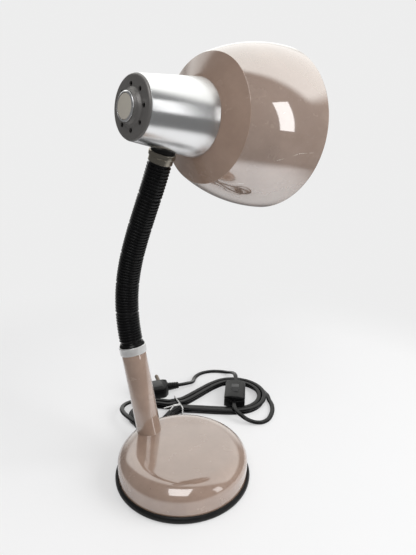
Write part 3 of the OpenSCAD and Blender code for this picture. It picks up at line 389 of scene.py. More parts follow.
def sleeve_tree():
    """One length of the neck's sleeve: a tube along an arc, with round ribs at equal steps."""
    tree, given, out = new_tree("ribbed_sleeve", "GeometryNodeTree", {
        "Geometry": "Geometry", "Length": 29.2, "Bend": 0.1, "Foot Radius": 11.0, "Top Radius": 10.0,
        "Rib Height": 1.0, "Rib Width": 1.4, "Rib Count": 10.0, "First Rib": 1.0, "Last Rib": 26.0,
        "Low End": 0.3, "High End": 27.0, "Bore Radius": 8.0, "Finish": "Material"}, {"Geometry": "Geometry"})
    length, bend, foot_r, top_r, rib_h, rib_w, ribs, first, last, low, high, bore = list(given)[1:13]
    n = Nodes(tree)
    rows = n.math("MULTIPLY_ADD", ribs, 16.0, 5.0)
    grid = n.node("GeometryNodeMeshGrid",
                  {"Size X": 1.0, "Size Y": 1.0, "Vertices X": rows, "Vertices Y": 73})
    flat = n.node("ShaderNodeSeparateXYZ", {"Vector": n.node("GeometryNodeInputPosition").outputs[0]}).outputs
    u = n.plus(flat["X"], 0.5)
    turn = n.times(n.plus(flat["Y"], 0.5), 2 * math.pi)
    row = n.over(1.0, n.minus(rows, 1.0))
    inner = n.over(n.minus(u, row), n.minus(1.0, n.times(row, 2.0)), clamp=True)
    end = n.math("GREATER_THAN", n.math("ABSOLUTE", n.minus(u, 0.5)), n.minus(0.5, n.times(row, 0.5)))
    along = n.math("MULTIPLY_ADD", n.minus(high, low), inner, low)
    pitch = n.over(n.minus(last, first), n.minus(ribs, 1.0))
    rib = n.over(n.minus(along, first), pitch)
    nearest = n.math("MAXIMUM", n.math("MINIMUM", n.math("ROUND", rib), n.minus(ribs, 1.0)), 0.0)
    away = n.over(n.times(n.math("ABSOLUTE", n.minus(rib, nearest)), pitch), n.times(rib_w, 0.5))
    swell = n.math("POWER", n.math("MAXIMUM", n.minus(1.0, n.math("POWER", away, 3.0)), 0.0), 0.6)
    share = n.over(along, length)
    tapered = n.math("MULTIPLY_ADD", n.minus(top_r, foot_r), share, foot_r)
    outside = n.plus(tapered, n.times(rib_h, n.minus(swell, 1.0)))
    radius = n.plus(n.times(end, bore), n.times(n.minus(1.0, end), outside))
    angle = n.times(bend, share)
    arc_r = n.over(length, bend)
    reach = n.plus(arc_r, n.times(radius, n.math("COSINE", turn)))
    place = n.node("ShaderNodeCombineXYZ", {
        "X": n.minus(n.times(reach, n.math("COSINE", angle)), arc_r),
        "Y": n.times(radius, n.math("SINE", turn)),
        "Z": n.times(reach, n.math("SINE", angle))}).outputs[0]
    tube = n.node("GeometryNodeSetPosition", {"Geometry": grid.outputs["Mesh"], "Position": place}).outputs[0]
    tube = n.node("GeometryNodeMergeByDistance", {"Geometry": tube, "Distance": 0.002}).outputs[0]
    return end_tree(n, tube, given, out)


def vent_tree():
    """Drills a ring of equal holes through a piece."""
    tree, given, out = new_tree("ring_of_vents", "GeometryNodeTree", {
        "Geometry": "Geometry", "Vent Count": 8, "Ring Radius": 16.0, "Vent Radius": 1.8, "Turn": 0.0,
        "Depth": 6.0, "Finish": "Material"}, {"Geometry": "Geometry"})
    n = Nodes(tree)
    ring = n.node("GeometryNodeMeshCircle", {"Vertices": given["Vent Count"], "Radius": given["Ring Radius"]})
    drill = n.node("GeometryNodeMeshCylinder",
                   {"Vertices": 32, "Radius": given["Vent Radius"], "Depth": given["Depth"]})
    drills = n.node("GeometryNodeInstanceOnPoints", {"Points": ring.outputs[0], "Instance": drill.outputs[0]})
    spin = n.node("ShaderNodeCombineXYZ", {"Z": given["Turn"]})
    turned = n.node("GeometryNodeTransform", {"Geometry": drills.outputs[0], "Rotation": spin.outputs[0]})
    solid = n.node("GeometryNodeRealizeInstances", {"Geometry": turned.outputs[0]})
    drilled = n.node("GeometryNodeMeshBoolean", {"Mesh 1": given["Geometry"], "Mesh 2": solid.outputs[0]},
                     operation="DIFFERENCE", solver="EXACT")
    return end_tree(n, drilled.outputs[0], given, out)


def cord_tree():
    """Sweeps a cord's section along its route, flat side down."""
    tree, given, out = new_tree("swept_cord", "GeometryNodeTree", {
        "Geometry": "Geometry", "Section": "Object", "Finish": "Material"}, {"Geometry": "Geometry"})
    n = Nodes(tree)
    route = n.node("GeometryNodeMeshToCurve", {"Mesh": given["Geometry"]})
    level = n.node("GeometryNodeSetCurveNormal", {"Curve": route.outputs[0]}, mode="Z_UP")
    held = n.node("GeometryNodeObjectInfo", {"Object": given["Section"]}).outputs["Geometry"]
    outline = n.node("GeometryNodeMeshToCurve", {"Mesh": held})
    swept = n.node("GeometryNodeCurveToMesh",
                   {"Curve": level.outputs[0], "Profile Curve": outline.outputs[0], "Fill Caps": True})
    return end_tree(n, swept.outputs[0], given, out)


def grown(tree, mesh, **values):
    """The plain mesh that a geometry tree makes from a mesh and the values of its named inputs."""
    obj = linked("growing", mesh)
    modifier = obj.modifiers.new("grow", "NODES")
    modifier.node_group = tree
    sockets = {item.name: item.identifier for item in tree.interface.items_tree if item.in_out == "INPUT"}
    for label, value in values.items():
        modifier[sockets[label.replace("_", " ")]] = value
    made = evaluated(obj)
    obj.modifiers.remove(modifier)
    bpy.data.objects.remove(obj)
    return made


# Materials


class Paint(Nodes):
    """A procedural material on the object's own coordinates, in metres, in a piece's frame."""

    def __init__(self, name, color, roughness, metallic=0.0, place=None, **sockets):
        self.m = bpy.data.materials.new(name)
        self.m.use_nodes = True
        super().__init__(self.m.node_tree)
        self.bsdf = self.nt.nodes["Principled BSDF"]
        sockets.update(Base_Color=(*color, 1), Roughness=roughness, Metallic=metallic)
        for key, value in sockets.items():
            self.bsdf.inputs[key.replace("_", " ")].default_value = value
        self.where = self.node("ShaderNodeTexCoord").outputs["Object"]
        if place is not None:
            back = (MM @ place @ MM.inverted()).inverted()
            self.where = self.node("ShaderNodeMapping", {
                "Vector": self.where, "Location": back.to_translation(),
                "Rotation": back.to_euler()}).outputs["Vector"]

    def group(self, tree, **inputs):
        given = {"Place": self.where, **{key.replace("_", " "): value for key, value in inputs.items()}}
        return self.node("ShaderNodeGroup", given, node_tree=tree).outputs

    def feed(self, socket, value):
        self.nt.links.new(value, self.bsdf.inputs[socket])

    def bump(self, height, distance, strength=1.0, before=None):
        inputs = {"Height": height, "Distance": distance, "Strength": strength}
        if before is not None:
            inputs["Normal"] = before
        return self.node("ShaderNodeBump", inputs).outputs["Normal"]

    def scratch(self, a, b, width):
        """A thin mark between two points of the piece's frame, in millimetres."""
        a, b = Vector(a) / 1000, Vector(b) / 1000
        line = b - a
        to_a = self.vector("SUBTRACT", self.where, a, 0)
        t = self.times(self.vector("DOT_PRODUCT", to_a, line / line.length_squared), 1.0, clamp=True)
        foot = self.node("ShaderNodeVectorMath", {0: line, "Scale": t}, operation="SCALE").outputs[0]
        return self.band(self.vector("DISTANCE", to_a, foot), width / 2000, width / 5000)


TAUPE = (0.300, 0.212, 0.165)
TAUPE_DARK = (0.250, 0.172, 0.131)
TAUPE_WORN = (0.50, 0.41, 0.35)
STEEL_SHOWING = (0.74, 0.69, 0.63)
CHIP_BLACK = (0.030, 0.022, 0.018)


def enamel(name, place, marks=(), chips=0.006, wear=0.08, gloss=2.1):
    """Glossy stove enamel with faint clouds, pinholes, chips and scratches."""
    p = Paint(name, TAUPE, 0.22, place=place, Coat_Weight=1.0, Coat_Roughness=0.045, Coat_IOR=gloss)
    old = p.group(PATINA, Cloud_Scale=26.0, Cloud_Low=0.35, Cloud_High=0.7, Speck_Scale=260.0,
                  Speck_Size=0.14, Speck_Share=0.012)
    base = p.mix(old["Clouds"], TAUPE_DARK, TAUPE)
    rubbed = p.group(PATINA, Cloud_Scale=320.0, Speck_Scale=190.0, Speck_Size=0.12, Speck_Share=chips)
    base = p.mix(p.times(rubbed["Clouds"], wear), base, TAUPE_WORN)
    base = p.mix(p.times(old["Specks"], 0.6), base, CHIP_BLACK)
    for a, b, width in marks:
        broken = p.band(p.noise(900, 2), 0.38, 0.55)
        base = p.mix(p.times(p.scratch(a, b, width), broken), base, STEEL_SHOWING)
    p.feed("Base Color", p.mix(rubbed["Specks"], base, CHIP_BLACK))
    fine = p.group(GRAIN, Grain_Scale=240.0, Patch_Scale=60.0, Smooth=0.16, Rough=0.30)
    p.feed("Roughness", fine["Roughness"])
    wave = p.bump(p.noise(38, 1, 0.4), 0.0003, 0.12)
    p.feed("Normal", p.bump(fine["Height"], 0.000005, 0.2, wave))
    p.feed("Coat Normal", wave)
    return p.m


def turned_metal(name, place, color, roughness, lines=2600.0, contrast=0.10, depth=0.000006,
                 grime=(0.3, 0.29, 0.28), soil=0.15, metallic=1.0, spread=0.22, **sockets):
    """Metal with fine marks that run round the piece's own axis, and a little grime."""
    p = Paint(name, color, roughness, metallic, place, **sockets)
    marks = p.group(TURNING, Lines=lines)["Marks"]
    old = p.group(PATINA, Cloud_Scale=70.0, Cloud_Low=0.52, Cloud_High=0.82)
    base = p.mix(p.band(marks, 0.35, 0.65), tuple(c * (1 - contrast) for c in color), color)
    base = p.mix(p.times(old["Clouds"], soil), base, grime)
    p.feed("Base Color", p.mix(p.times(old["Specks"], 0.5), base, grime))
    p.feed("Roughness", p.band(marks, 0.3, 0.7, roughness * (1 - spread), roughness * (1 + spread)))
    p.feed("Normal", p.bump(marks, depth, 0.4))
    return p.m


def moulded(name, color, roughness, grain=900.0, depth=0.00002, place=None, worn=(0.05, 0.05, 0.05),
            wear=0.15, specular=0.5):
    """Plastic, rubber or felt with a fine skin, faint dust and worn patches."""
    p = Paint(name, color, roughness, 0.0, place, Specular_IOR_Level=specular)
    old = p.group(PATINA, Cloud_Scale=55.0, Speck_Scale=650.0, Speck_Share=0.02)
    base = p.mix(p.times(old["Clouds"], wear), color, worn)
    p.feed("Base Color", p.mix(p.times(old["Specks"], 0.3), base, (0.28, 0.27, 0.26)))
    fine = p.group(GRAIN, Grain_Scale=grain, Patch_Scale=110.0, Smooth=roughness * 0.85,
                   Rough=min(1.0, roughness * 1.25))
    p.feed("Roughness", fine["Roughness"])
    p.feed("Normal", p.bump(fine["Height"], depth, 0.6))
    return p.m


def pale(name, color, shaded, roughness, scale, depth, place, **sockets):
    """White enamel, opal glass or clear plastic, with a soft change of tone."""
    p = Paint(name, color, roughness, place=place, **sockets)
    old = p.group(PATINA, Cloud_Scale=scale, Cloud_Low=0.4, Speck_Scale=400.0, Speck_Size=0.1)
    p.feed("Base Color", p.mix(old["Clouds"], color, shaded))
    p.feed("Normal", p.bump(p.group(GRAIN, Grain_Scale=scale * 2.5)["Height"], depth, 0.3))
    return p.m


BRASS, ZINC = (0.74, 0.56, 0.28), (0.60, 0.60, 0.61)
mats = {
    "base": enamel("enamel_base", WORLD, chips=0.006, wear=0.03, gloss=2.0),
    "stem": enamel("enamel_stem", STEM, chips=0.010, wear=0.05, gloss=2.2),
    # The back cone is the same enamel as the bowl. This less glossy copy makes the cone read darker, as
    # painted shade.
    "cone": enamel("enamel_cone", HEAD, chips=0.003, wear=0.04, gloss=1.45),
    "shade": enamel("enamel_shade", HEAD, chips=0.004, wear=0.10, gloss=3.4, marks=[
        (on_bowl(96, 100), on_bowl(88, 118), 0.7), (on_bowl(88, 118), on_bowl(86, 132), 0.45),
        (on_bowl(128, 82), on_bowl(124, 88), 0.5), (on_bowl(66, 92), on_bowl(63, 97), 0.5)]),
    "inner": pale("enamel_white", (0.80, 0.79, 0.75), (0.73, 0.70, 0.63), 0.35, 40.0, 0.00003, HEAD,
                  Coat_Weight=0.3, Coat_Roughness=0.15),
    "housing": turned_metal("aluminium_turned", HEAD, (0.80, 0.805, 0.81), 0.25, lines=2400.0, contrast=0.02,
                            depth=2e-7, spread=0.06, grime=(0.55, 0.55, 0.55), soil=0.10, Anisotropic=0.5),
    "cap": turned_metal("cap_grey", HEAD, (0.165, 0.158, 0.152), 0.40, lines=1400.0, contrast=0.08,
                        depth=0.000004, grime=(0.13, 0.12, 0.11), soil=0.3, metallic=0.55),
    "collar": turned_metal("chrome_collar", HEAD, (0.90, 0.90, 0.91), 0.08, lines=1500.0, contrast=0.04),
    "ferrule": turned_metal("nickel_warm", JOINTS[6], (0.34, 0.312, 0.262), 0.22, lines=1800.0, contrast=0.14,
                            grime=(0.20, 0.17, 0.13), soil=0.35),
    "bezel": turned_metal("aluminium_bezel", STEM, (0.90, 0.90, 0.895), 0.34, lines=1400.0, contrast=0.06,
                          grime=(0.60, 0.58, 0.54), soil=0.3, metallic=0.8),
    "sleeve": moulded("sleeve_black", (0.003, 0.003, 0.0033), 0.27, grain=700.0, wear=0.05, specular=0.2),
    "rubber": moulded("ring_rubber", (0.005, 0.005, 0.005), 0.40, grain=500.0, depth=0.00004, specular=0.2),
    "cord": moulded("cord_black", (0.003, 0.003, 0.0033), 0.20, grain=420.0, depth=0.00001, wear=0.05,
                    specular=0.22),
    "fitting": moulded("fitting_black", (0.004, 0.004, 0.0043), 0.32, grain=1400.0, wear=0.08, specular=0.2),
    "panel": moulded("fitting_panel", (0.014, 0.014, 0.015), 0.45, grain=2200.0, depth=0.00005, wear=0.3),
    "holder": moulded("holder_black", (0.012, 0.010, 0.009), 0.22, grain=300.0),
    # The saddle washer is near black: partly a dark washer, and partly painted shade for the gap under the
    # housing.
    "washer": moulded("washer_dark", (0.006, 0.0055, 0.005), 0.55, specular=0.2),
    "felt": moulded("felt_pad", (0.030, 0.033, 0.030), 0.95, grain=2600.0, depth=0.0002, wear=0.5),
    "iron": moulded("cast_iron", (0.060, 0.060, 0.062), 0.7, grain=420.0, depth=0.0002),
    "button": moulded("button_grey", (0.36, 0.335, 0.29), 0.42, grain=1200.0, place=HEAD,
                      worn=(0.26, 0.24, 0.21)),
    "steel": turned_metal("plated_steel", WORLD, ZINC, 0.32, lines=700.0, grime=(0.35, 0.33, 0.30)),
    "brass": turned_metal("brass", WORLD, BRASS, 0.26, lines=900.0, grime=(0.32, 0.22, 0.10)),
    "pin": turned_metal("pin_dull", PLUG, (0.16, 0.13, 0.10), 0.34, lines=900.0, grime=(0.07, 0.06, 0.05)),
    "capmetal": turned_metal("cap_metal", HEAD, (0.78, 0.78, 0.79), 0.28, lines=600.0),
    "glass": pale("opal_glass", (0.92, 0.91, 0.87), (0.86, 0.85, 0.80), 0.12, 60.0, 0.00003, HEAD,
                  Subsurface_Weight=0.3, Subsurface_Radius=(0.004, 0.004, 0.003), Coat_Weight=0.5,
                  Coat_Roughness=0.04),
    "tie": pale("tie_clear", (0.80, 0.80, 0.79), (0.62, 0.61, 0.59), 0.18, 300.0, 0.00004, WORLD,
                Transmission_Weight=0.35, IOR=1.46, Coat_Weight=0.4),
}

# Cord: its route, in metres in the hank's frame

CORD_W, CORD_T = 0.0054, 0.0032
LOBE_R, LOBE_X, FOLD_R, WAIST_R = 0.0274, 0.073, 0.0148, 0.030
WAIST_GAP, WAIST_LIFT, LIFT_REACH = 0.0016, 0.0022, 0.030
HANK_STEP, HANK_LAYER, LOOPS, RINGS = 0.0062, 0.004, 3.5, 24
FLOOR_Z = CORD_T / 2 + 0.0001
fold_x = math.sqrt((WAIST_R + FOLD_R) ** 2 - WAIST_R ** 2)
fold_angle = math.degrees(math.acos(WAIST_R / (WAIST_R + FOLD_R)))
lobe_angle = (math.degrees(math.asin((WAIST_R + LOBE_R) / math.hypot(LOBE_X, WAIST_R)))
              - math.degrees(math.atan2(WAIST_R, LOBE_X)))


def edge_at(i):
    """Point of the hank's inner edge and its outward direction, at a ring counted from the right end."""
    if i > RINGS / 2:
        e, n = edge_at(RINGS - i)
        return Vector((e.x, -e.y)), Vector((n.x, -n.y))
    if i <= 4:
        a = math.radians((90 + lobe_angle) * i / 4)
        n = Vector((math.cos(a), math.sin(a)))
        return Vector((LOBE_X, 0)) + LOBE_R * n, n
    if i <= 8:
        a = math.radians(-lobe_angle * (6 - i) if i <= 6 else fold_angle * (i - 6) / 2)
        n = Vector((math.sin(a), math.cos(a)))
        return Vector((0, WAIST_R)) - WAIST_R * n, n
    a = math.radians(90 - fold_angle + (90 + fold_angle) * (i - 8) / 4)
    n = Vector((math.cos(a), math.sin(a)))
    return Vector((-fold_x, 0)) + FOLD_R * n, n


def ring_edge(i):
    return edge_at((RINGS * 10.5 - i) % RINGS)


def hank_point(i):
    """Point of the cord's middle at a ring, counted along the cord."""
    turns = i / RINGS
    e, n = ring_edge(i)
    out = WAIST_GAP + HANK_STEP * abs(LOOPS / 2 - turns)
    drop = min(max((turns - LOOPS / 2 + 0.25) * 2, 0), 1)
    q = e + n * out
    z = FLOOR_Z + HANK_LAYER * (1 - drop) + WAIST_LIFT * max(0, 1 - abs(q.x) / LIFT_REACH) ** 2
    return Vector((q.x, q.y, z))


def hank_along(i):
    n = ring_edge(i)[1]
    return Vector((n.y, -n.x, 0))


def heading(degrees):
    a = math.radians(degrees)
    return Vector((math.cos(a), math.sin(a), 0))


def metres(points):
    return [Vector([c / 1000 for c in p]) for p in points]


def mouth(at, out):
    """The cord's points at a fitting: straight outside it, then into its pocket."""
    return [at + out * STRAIGHT, at, at - out * POCKET]


STRAIGHT, POCKET, GLAND_TIP = 0.006, 0.00395, 82.25
FIRST_RING, LAST_RING = 3, 84
hank_rings = [hank_point(i) for i in range(FIRST_RING, LAST_RING + 1)]
hank_start = hank_rings[0] - STRAIGHT * hank_along(FIRST_RING)
hank_end = hank_rings[-1] + STRAIGHT * hank_along(LAST_RING)
gland_dir = heading(BASE_TURN + GLAND_TURN - HANK_TURN)
gland_tip = HANK.inverted() @ (GLAND @ Vector((0, 0, GLAND_TIP))) / 1000
line_dir = heading(LINE_TURN)
line_mid, plug_mouth = metres([(LINE_X, LINE_Y, LINE_SEAM), (PLUG_X, PLUG_Y, PLUG_Z)])
line_near, line_far = line_mid - line_dir * (LINE_L / 2000), line_mid + line_dir * (LINE_L / 2000)
plug_dir = heading(PLUG_TURN)
lead_points = metres([(-63.8, -8.5, 13.2), (-65.5, 1.5, 11.8), (-65, 12, 10.3), (-61, 20.5, 8.8),
                      (-54.5, 26.5, 7.4),
                      (-47, 29, 6.4)])
link_points = metres([(109.5, -22, 1.7), (107.5, -31, 1.7), (103.5, -40, 1.7), (97, -49, 1.7),
                      (87, -57.5, 1.7), (78, -59.8, 1.9), (69.5, -58, 3.2), (62.2, -53, 5.7),
                      (57.6, -45.8, 8.4), (56, -37, 9.6)])
tail_points = metres([(92, 36.5, 9.6), (93.5, 47, 7), (90.5, 57, 3.4), (84, 65, 1.8), (74.5, 69.5, 1.7),
                      (64.5, 71, 1.7), (56.5, 69.8, 1.7), (49.5, 66.3, 1.7), (43.8, 60.6, 2),
                      (38.2, 51.4, 3.7), (33.4, 46.3, 5.6), (27.3, 43, 7.5)])
long_route = (mouth(gland_tip, gland_dir)[::-1] + lead_points
              + [hank_start - STRAIGHT * hank_along(FIRST_RING), hank_start] + hank_rings
              + [hank_end, hank_end + STRAIGHT * hank_along(LAST_RING)] + link_points
              + mouth(line_near, -line_dir))
tail_route = mouth(line_far, line_dir)[::-1] + tail_points + mouth(plug_mouth, plug_dir)


def smooth_route(points, step=0.0014):
    """A smooth curve through the points, with about one point in each step."""
    pts = [points[0] * 2 - points[1]] + list(points) + [points[-1] * 2 - points[-2]]
    out = []
    for i in range(1, len(pts) - 2):
        p0, p1, p2, p3 = pts[i - 1:i + 3]
        t1 = (p1 - p0).length ** 0.5
        t2 = t1 + (p2 - p1).length ** 0.5
        t3 = t2 + (p3 - p2).length ** 0.5
        n = max(1, round((p2 - p1).length / step))
        for k in range(n):
            t = t1 + (t2 - t1) * k / n
            a1 = p0 * ((t1 - t) / t1) + p1 * (t / t1)
            a2 = p1 * ((t2 - t) / (t2 - t1)) + p2 * ((t - t1) / (t2 - t1))
            a3 = p2 * ((t3 - t) / (t3 - t2)) + p3 * ((t - t2) / (t3 - t2))
            b1 = a1 * ((t2 - t) / t2) + a2 * (t / t2)
            b2 = a2 * ((t3 - t) / (t3 - t1)) + a3 * ((t - t1) / (t3 - t1))
            out.append(b1 * ((t2 - t) / (t2 - t1)) + b2 * ((t - t1) / (t2 - t1)))
    out.append(points[-1])
    return out


def cord_section():
    """Flat twin cord: two round cores under one sheath, with a shallow groove on each flat side."""
    r, half, groove = CORD_T / 2, CORD_W / 2 - CORD_T / 2, 0.00022
    sides = [[(side * (half + r * math.cos(a)), side * r * math.sin(a), 0)
              for a in (math.radians(-90 + 180 * k / 8) for k in range(9))] for side in (1, -1)]
    return sides[0] + [(0, r - groove, 0)] + sides[1] + [(0, groove - r, 0)]


def wire(name, points, closed=False):
    """A mesh of edges only, through the points."""
    mesh = bpy.data.meshes.new(name)
    links = [(i, i + 1) for i in range(len(points) - 1)] + ([(len(points) - 1, 0)] if closed else [])
    mesh.from_pydata([tuple(p) for p in points], links, [])
    return mesh


section = bpy.data.objects.new("cord_section", wire("cord_section", cord_section(), True))
CORD_SWEEP = cord_tree()
HANK_M = move(HANK_X / 1000, HANK_Y / 1000) @ rot("Z", HANK_TURN)


def lay_cord(name, route, nodes):
    """Sweeps a cord along a route: the object, its path in the shared frame, and its length."""
    path = [HANK_M @ p for p in smooth_route(route)]
    swept = grown(CORD_SWEEP, wire(name, path), Section=section, Finish=mats["cord"])
    mesh = to_mesh(name, reopened(swept), scale=WORLD)
    obj = add(name, mesh, "cord", "base", nodes, angle=50)
    return obj, path, sum((b - a).length for a, b in zip(path, path[1:]))


flex, flex_path, flex_len = lay_cord("flex_bundle", long_route, "cord_lead cord_hank cord_link")
tail, tail_path, tail_len = lay_cord("flex_tail", tail_route, "cord_tail")
bpy.data.objects.remove(section)
print("cord lengths", round(flex_len, 4), round(tail_len, 4))

# Base

COVER_R, COVER_H, COVER_T, COVER_LOW, WALL_H = 61.25, 33.5, 1.2, 1.5, 18.5
SHOULDER_W, SHOULDER_H, CROWN_R, CROWN_H, CROWN_STEPS = 18, 13.5, 43.25, 1.5, 9


def crown_line(top, order):
    """The low crown inside the shoulder, in steps from the shoulder to the middle or back."""
    shares = [1 - i / CROWN_STEPS for i in order]
    return [(CROWN_R * s, top - CROWN_H * s ** 2) for s in shares]


def shoulder(inset, start, end, steps):
    return ellipse(CROWN_R, WALL_H, SHOULDER_W - inset, SHOULDER_H - inset, start, end, steps)


dome = ([(COVER_R - COVER_T, COVER_LOW), (COVER_R, COVER_LOW)] + shoulder(0, 0, 90, 22)
        + crown_line(COVER_H, range(1, CROWN_STEPS + 1)))
dome_in = crown_line(COVER_H - COVER_T, range(CROWN_STEPS, 0, -1)) + shoulder(COVER_T, 90, 0, 16)
skin("base_cover_skin", lathe(dome + dome_in, 192), WORLD, "base", "base", "base_cover")
ring = rounded([(57.65, 0, 0.3)] + ellipse(61.25, 3.5, 2.75, 3.5, -90, 78, 16) + [
    (61.35, 6.4), (61.32, 1.45), (59.98, 1.45), (59.98, 6.4), (59.3, 6.9, 0.2), (57.65, 4.5, 0.3)])
skin("edge_ring_skin", lathe(ring, 192), WORLD, "rubber", "base", "edge_ring")

# Stem


def dome_height(r):
    if r >= COVER_R:
        return 0.0
    if r <= CROWN_R:
        return COVER_H - CROWN_H * (r / CROWN_R) ** 2
    return WALL_H + SHOULDER_H * math.sqrt(max(0, 1 - ((r - CROWN_R) / SHOULDER_W) ** 2))


def stem_foot(angle, r):
    """Height in the stem's frame at which its wall meets the cover."""
    low, high = -14.0, 14.0
    for _ in range(40):
        t = (low + high) / 2
        q = STEM @ Vector((r * math.cos(angle), r * math.sin(angle), t))
        if q.z > dome_height(math.hypot(q.x, q.y)):
            high = t
        else:
            low = t
    return high


def stem_shape():
    """The stem's tube, whose foot follows the cover and whose rows level out above it."""
    bm = bmesh.new()
    segments, rows, bore, even = 128, [], STEM_R - 1.2, 15
    profile = [(STEM_R + 0.02, 0.02), (STEM_R, 0.25), (STEM_R, 1.2), (STEM_R, 4), (STEM_R, 12), (STEM_R, 30),
               (STEM_R, 50), (STEM_R, 70), (STEM_R, STEM_TOP - 0.6), (STEM_R - 0.1, STEM_TOP - 0.2),
               (STEM_R - 0.4, STEM_TOP - 0.02), (bore, STEM_TOP - 0.02)]
    for r, h in profile:
        row = []
        for k in range(segments):
            a = 2 * math.pi * k / segments
            foot = stem_foot(a, STEM_R)
            z = h if h > even else foot + h * (even - foot) / even if h > 2 else foot + h
            row.append(bm.verts.new((r * math.cos(a), r * math.sin(a), z)))
        rows.append(row)
    shrink = bore / (STEM_R + 0.02)
    inner_low = [bm.verts.new((shrink * v.co.x, shrink * v.co.y, v.co.z)) for v in rows[0]]
    for k in range(segments):
        n = (k + 1) % segments
        for a, b in zip(rows, rows[1:]):
            bm.faces.new([a[k], a[n], b[n], b[k]])
        bm.faces.new([rows[0][k], inner_low[k], inner_low[n], rows[0][n]])
        bm.faces.new([rows[-1][k], rows[-1][n], inner_low[n], inner_low[k]])
    return bm


skin("stem_skin", stem_shape(), STEM, "stem", "base", "stem_tube")
bezel = rounded([(7.3, STEM_TOP), (12.5, STEM_TOP, 0.3), (12.8, STEM_TOP + 0.5, 0.1),
                 (12.8, BEZEL_TOP - 1.6, 0.1), (13.0, BEZEL_TOP - 1.3, 0.1), (13.0, BEZEL_TOP - 0.4, 0.2),
                 (12.6, BEZEL_TOP, 0.2), (7.3, BEZEL_TOP)])
skin("bezel_skin", lathe(bezel), STEM, "bezel", "base", "bezel_ring")
cuff = rounded([(7.3, BEZEL_TOP + 0.05), (12.1, BEZEL_TOP + 0.05, 0.2), (12.1, BEZEL_TOP + 0.8, 0.5),
                (11.1, CUFF_TOP - 0.6, 0.6), (11.1, CUFF_TOP, 0.2), (7.3, CUFF_TOP)])
skin("cuff_skin", lathe(cuff), STEM, "sleeve", "base", "neck_cuff")

# Neck: ribbed sleeve in six lengths, folds between them

SLEEVE = sleeve_tree()
bodies = ["base"] + ["neck_%d" % k for k in range(1, 7)] + ["neck_top"]
for k in range(6):
    name = "sleeve_skin_%d" % (k + 1)
    mesh = grown(SLEEVE, bpy.data.meshes.new(name), Length=NECK_LEN, Bend=math.radians(BENDS[k]),
                 Foot_Radius=rib_radius(k), Top_Radius=rib_radius(k + 1), Rib_Height=RIB_H, Rib_Width=RIB_W,
                 Rib_Count=float(RIB_COUNT), First_Rib=ABOVE_JOINT + RIB_W / 2,
                 Last_Rib=NECK_LEN - BELOW_JOINT - RIB_W / 2, Low_End=ABOVE_JOINT,
                 High_End=NECK_LEN - BELOW_JOINT, Bore_Radius=SLEEVE_BORE, Finish=mats["sleeve"])
    skin(name, reopened(mesh), JOINTS[k], "sleeve", bodies[k + 1], "neck_sleeve_%d" % (k + 1),
         60)

FOLD_GAP, FOLD_STEPS = 0.04, 8
for k in range(7):
    name = "sleeve_fold_%d" % k
    low, high, groove = FOLD_GAP - BELOW_JOINT, ABOVE_JOINT - FOLD_GAP, rib_radius(k) - RIB_H
    heights = [low + (high - low) * i / FOLD_STEPS for i in range(FOLD_STEPS + 1)]
    wall = [(groove - 0.1 - 0.35 * math.sin(math.pi * i / FOLD_STEPS), z) for i, z in enumerate(heights)]
    lining = [(SLEEVE_BORE + 0.1, z) for z in reversed(heights)]
    fold = skin(name, lathe(wall + lining, 96), JOINTS[k], "sleeve", None, "", 60)
    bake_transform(fold)

# Head

ferrule = rounded([(7.3, 0.3), (10.3, 0.3, 0.3), (10.3, FERRULE_TOP - 4.4, 0.2),
                   (10.7, FERRULE_TOP - 4.0, 0.2), (11.3, FERRULE_TOP - 3.8, 0.3),
                   (11.3, FERRULE_TOP - 0.6, 0.4), (10.7, FERRULE_TOP, 0.3), (5.1, FERRULE_TOP),
                   (5.1, FERRULE_TOP - 1.5), (7.3, FERRULE_TOP - 1.5)])
skin("ferrule_skin", lathe(ferrule), JOINTS[6], "ferrule", "neck_top", "ferrule")

CAP_SEAT, HOUSING_T, HOLE_R, HOLE_DEPTH = 2.05, 1.2, 5.1, 40
seat_r = BACK_R + TAPER * CAP_SEAT
housing = rounded([(seat_r, CAP_SEAT, 0.25), (FRONT_R, HEAD_LEN, 0.3), (FRONT_R - HOUSING_T, HEAD_LEN, 0.2),
                   (seat_r - HOUSING_T, CAP_SEAT, 0.2)])
hole = lathe([(0, 0), (HOLE_R, 0), (HOLE_R, HOLE_DEPTH), (0, HOLE_DEPTH)], 48, closed=False)
hole.transform(HEAD @ move(0, 0, SWIVEL_Z) @ rot("Y", -90))
mesh = cut(to_mesh("housing_skin", lathe(housing, 192), HEAD), hole)
add("housing_skin", mesh, "housing", "head", "housing", angle=25)

CAP_IN = BACK_R - 1.3
cap = rounded([(10.4, -4.2), (11.2, -4.2, 0.5), (12.2, -1.9, 1.4), (14.0, 0, 1.4)]
              + ellipse(BACK_R - 2, 2, 2, 2, -90, 0, 10)
              + [(CAP_IN, 2), (CAP_IN, 7), (CAP_IN - 1, 7), (CAP_IN - 1, 1.2), (10.4, 1.2)], 6)
plain = to_mesh("end_cap_plain", lathe(cap, 160), scale=WORLD)
drilled = grown(vent_tree(), plain, Vent_Count=8, Ring_Radius=16.0, Vent_Radius=1.8, Turn=math.radians(21.5),
                Depth=6.0, Finish=mats["cap"])
mesh = to_mesh("end_cap_skin", reopened(drilled), HEAD, flip=False)
add("end_cap_skin", mesh, "cap", "head", "end_cap", angle=28)
collar = rounded([(9.3, -5.6, 0.1), (9.9, -5.6, 0.25), (10.8, -5.0, 0.4), (10.8, -4.25, 0.1), (10.3, -4.25),
                  (10.3, 3), (9.3, 3)])
skin("collar_skin", lathe(collar), HEAD, "collar", "head", "switch_collar")
push = rounded([(0, -2.4), (9.1, -2.4), (9.1, -5.4, 0.45), (0, -5.4)])
skin("button_skin", lathe(push, 96, closed=False), HEAD, "button", "button", "push_button")

# Shade

